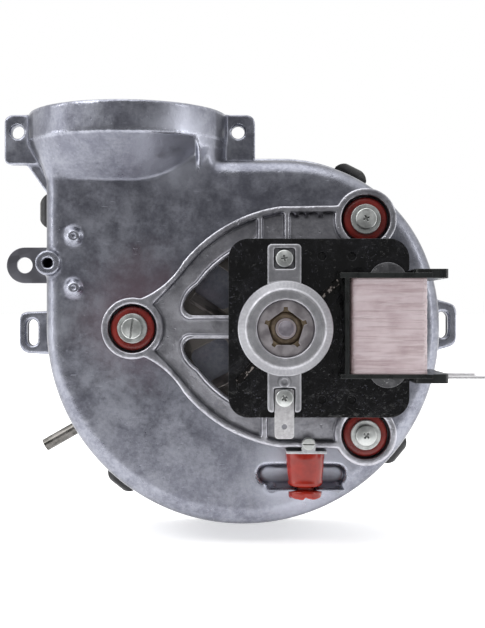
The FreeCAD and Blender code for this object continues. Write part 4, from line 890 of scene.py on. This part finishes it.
# ---------------------------------------------------------------- studio


def make_floor():
    """A pale floor under the object. It starts just in front and goes back to the horizon."""
    # In metres: the floor's side, how far it reaches in front, and its gap below the object.
    side, in_front, gap = 60, 0.26, 0.2 * MM
    place = (0, side / 2 - in_front, cad_box[0][2] - gap)
    bpy.ops.mesh.primitive_grid_add(x_subdivisions=8, y_subdivisions=8, size=side, location=place)
    floor = bpy.context.object
    floor.name = "studio_floor"
    s = Surface("studio_floor", Emission_Color=(1, 1, 1, 1), Emission_Strength=0.5)
    clouds = s.noise(400, 2.0)
    floor.data.materials.append(s.done(s.mix(clouds, (0.90, 0.90, 0.90), (0.93, 0.93, 0.93)), 0.7))


def make_world():
    """White to look at. As light and in reflections it is pale, but dark grey towards the front."""
    world = bpy.data.worlds.new("studio")
    bpy.context.scene.world = world
    world.use_nodes = True
    nodes, links = world.node_tree.nodes, world.node_tree.links
    nodes.clear()
    output = nodes.new("ShaderNodeOutputWorld")
    seen = nodes.new("ShaderNodeBackground")
    seen.inputs["Color"].default_value = (1, 1, 1, 1)
    cast = nodes.new("ShaderNodeBackground")
    direction = nodes.new("ShaderNodeTexCoord")
    split = nodes.new("ShaderNodeSeparateXYZ")
    links.new(direction.outputs["Generated"], split.inputs[0])
    depth = nodes.new("ShaderNodeMapRange")
    depth.interpolation_type = "SMOOTHSTEP"
    links.new(split.outputs["Y"], depth.inputs["Value"])
    # The Y of a direction: dark up to front, pale from side on.
    front, side, dark, pale = -0.94, -0.05, 0.26, 1.05
    for name, value in (("From Min", front), ("From Max", side), ("To Min", dark), ("To Max", pale)):
        depth.inputs[name].default_value = value
    links.new(depth.outputs["Result"], cast.inputs["Color"])
    choose = nodes.new("ShaderNodeMixShader")
    links.new(nodes.new("ShaderNodeLightPath").outputs["Is Camera Ray"], choose.inputs["Fac"])
    links.new(cast.outputs[0], choose.inputs[1])
    links.new(seen.outputs[0], choose.inputs[2])
    links.new(choose.outputs[0], output.inputs["Surface"])


def place_lamp(lamp, place):
    """Puts a lamp in the scene, turned to the middle of the frame."""
    holder = bpy.data.objects.new(lamp.name, lamp)
    holder.location = place
    holder.rotation_euler = (-Vector(place)).to_track_quat("-Z", "Y").to_euler()
    bpy.context.scene.collection.objects.link(holder)


def make_soft_box(name, place, size, power):
    lamp = bpy.data.lights.new(name, "AREA")
    lamp.shape = "RECTANGLE"
    lamp.size, lamp.size_y = size
    lamp.energy = power
    place_lamp(lamp, place)


def make_studio():
    """Floor, surround, soft light from above, a soft box at the upper left, a narrow one each side."""
    make_floor()
    make_world()
    ceiling = bpy.data.lights.new("ceiling", "SUN")
    ceiling.energy = 1.5
    ceiling.angle = math.radians(70)
    place_lamp(ceiling, (-0.3, -0.35, 1.0))
    make_soft_box("key", (-0.65, -0.60, 0.55), (0.35, 0.35), 1.3)
    make_soft_box("fill", (0.90, -0.42, 0.20), (0.07, 0.7), 0.9)
    make_soft_box("left", (-0.95, -0.22, 0.15), (0.07, 0.7), 1.2)
    bpy.context.scene.view_settings.view_transform = "Standard"


def make_camera():
    """A level camera in front of the motor. How far off follows from how round the collar's rim
    looks in the photo."""
    across, in_front, up = -13.6 * MM, 481 * MM, 4.6 * MM
    camera = bpy.data.cameras.new("camera")
    camera.sensor_fit = "VERTICAL"
    camera.sensor_height = 36
    camera.lens = 65.9
    camera.clip_start = 0.01
    holder = bpy.data.objects.new("camera", camera)
    holder.location = (across, -in_front, up)
    holder.rotation_euler = (math.radians(90), 0, 0)
    bpy.context.scene.collection.objects.link(holder)
    bpy.context.scene.camera = holder


finish_frame()
make_castings()
make_bracket_screws()
make_motor_screws()
make_grommets()
make_buffer()
make_tape()
make_studio()
make_camera()
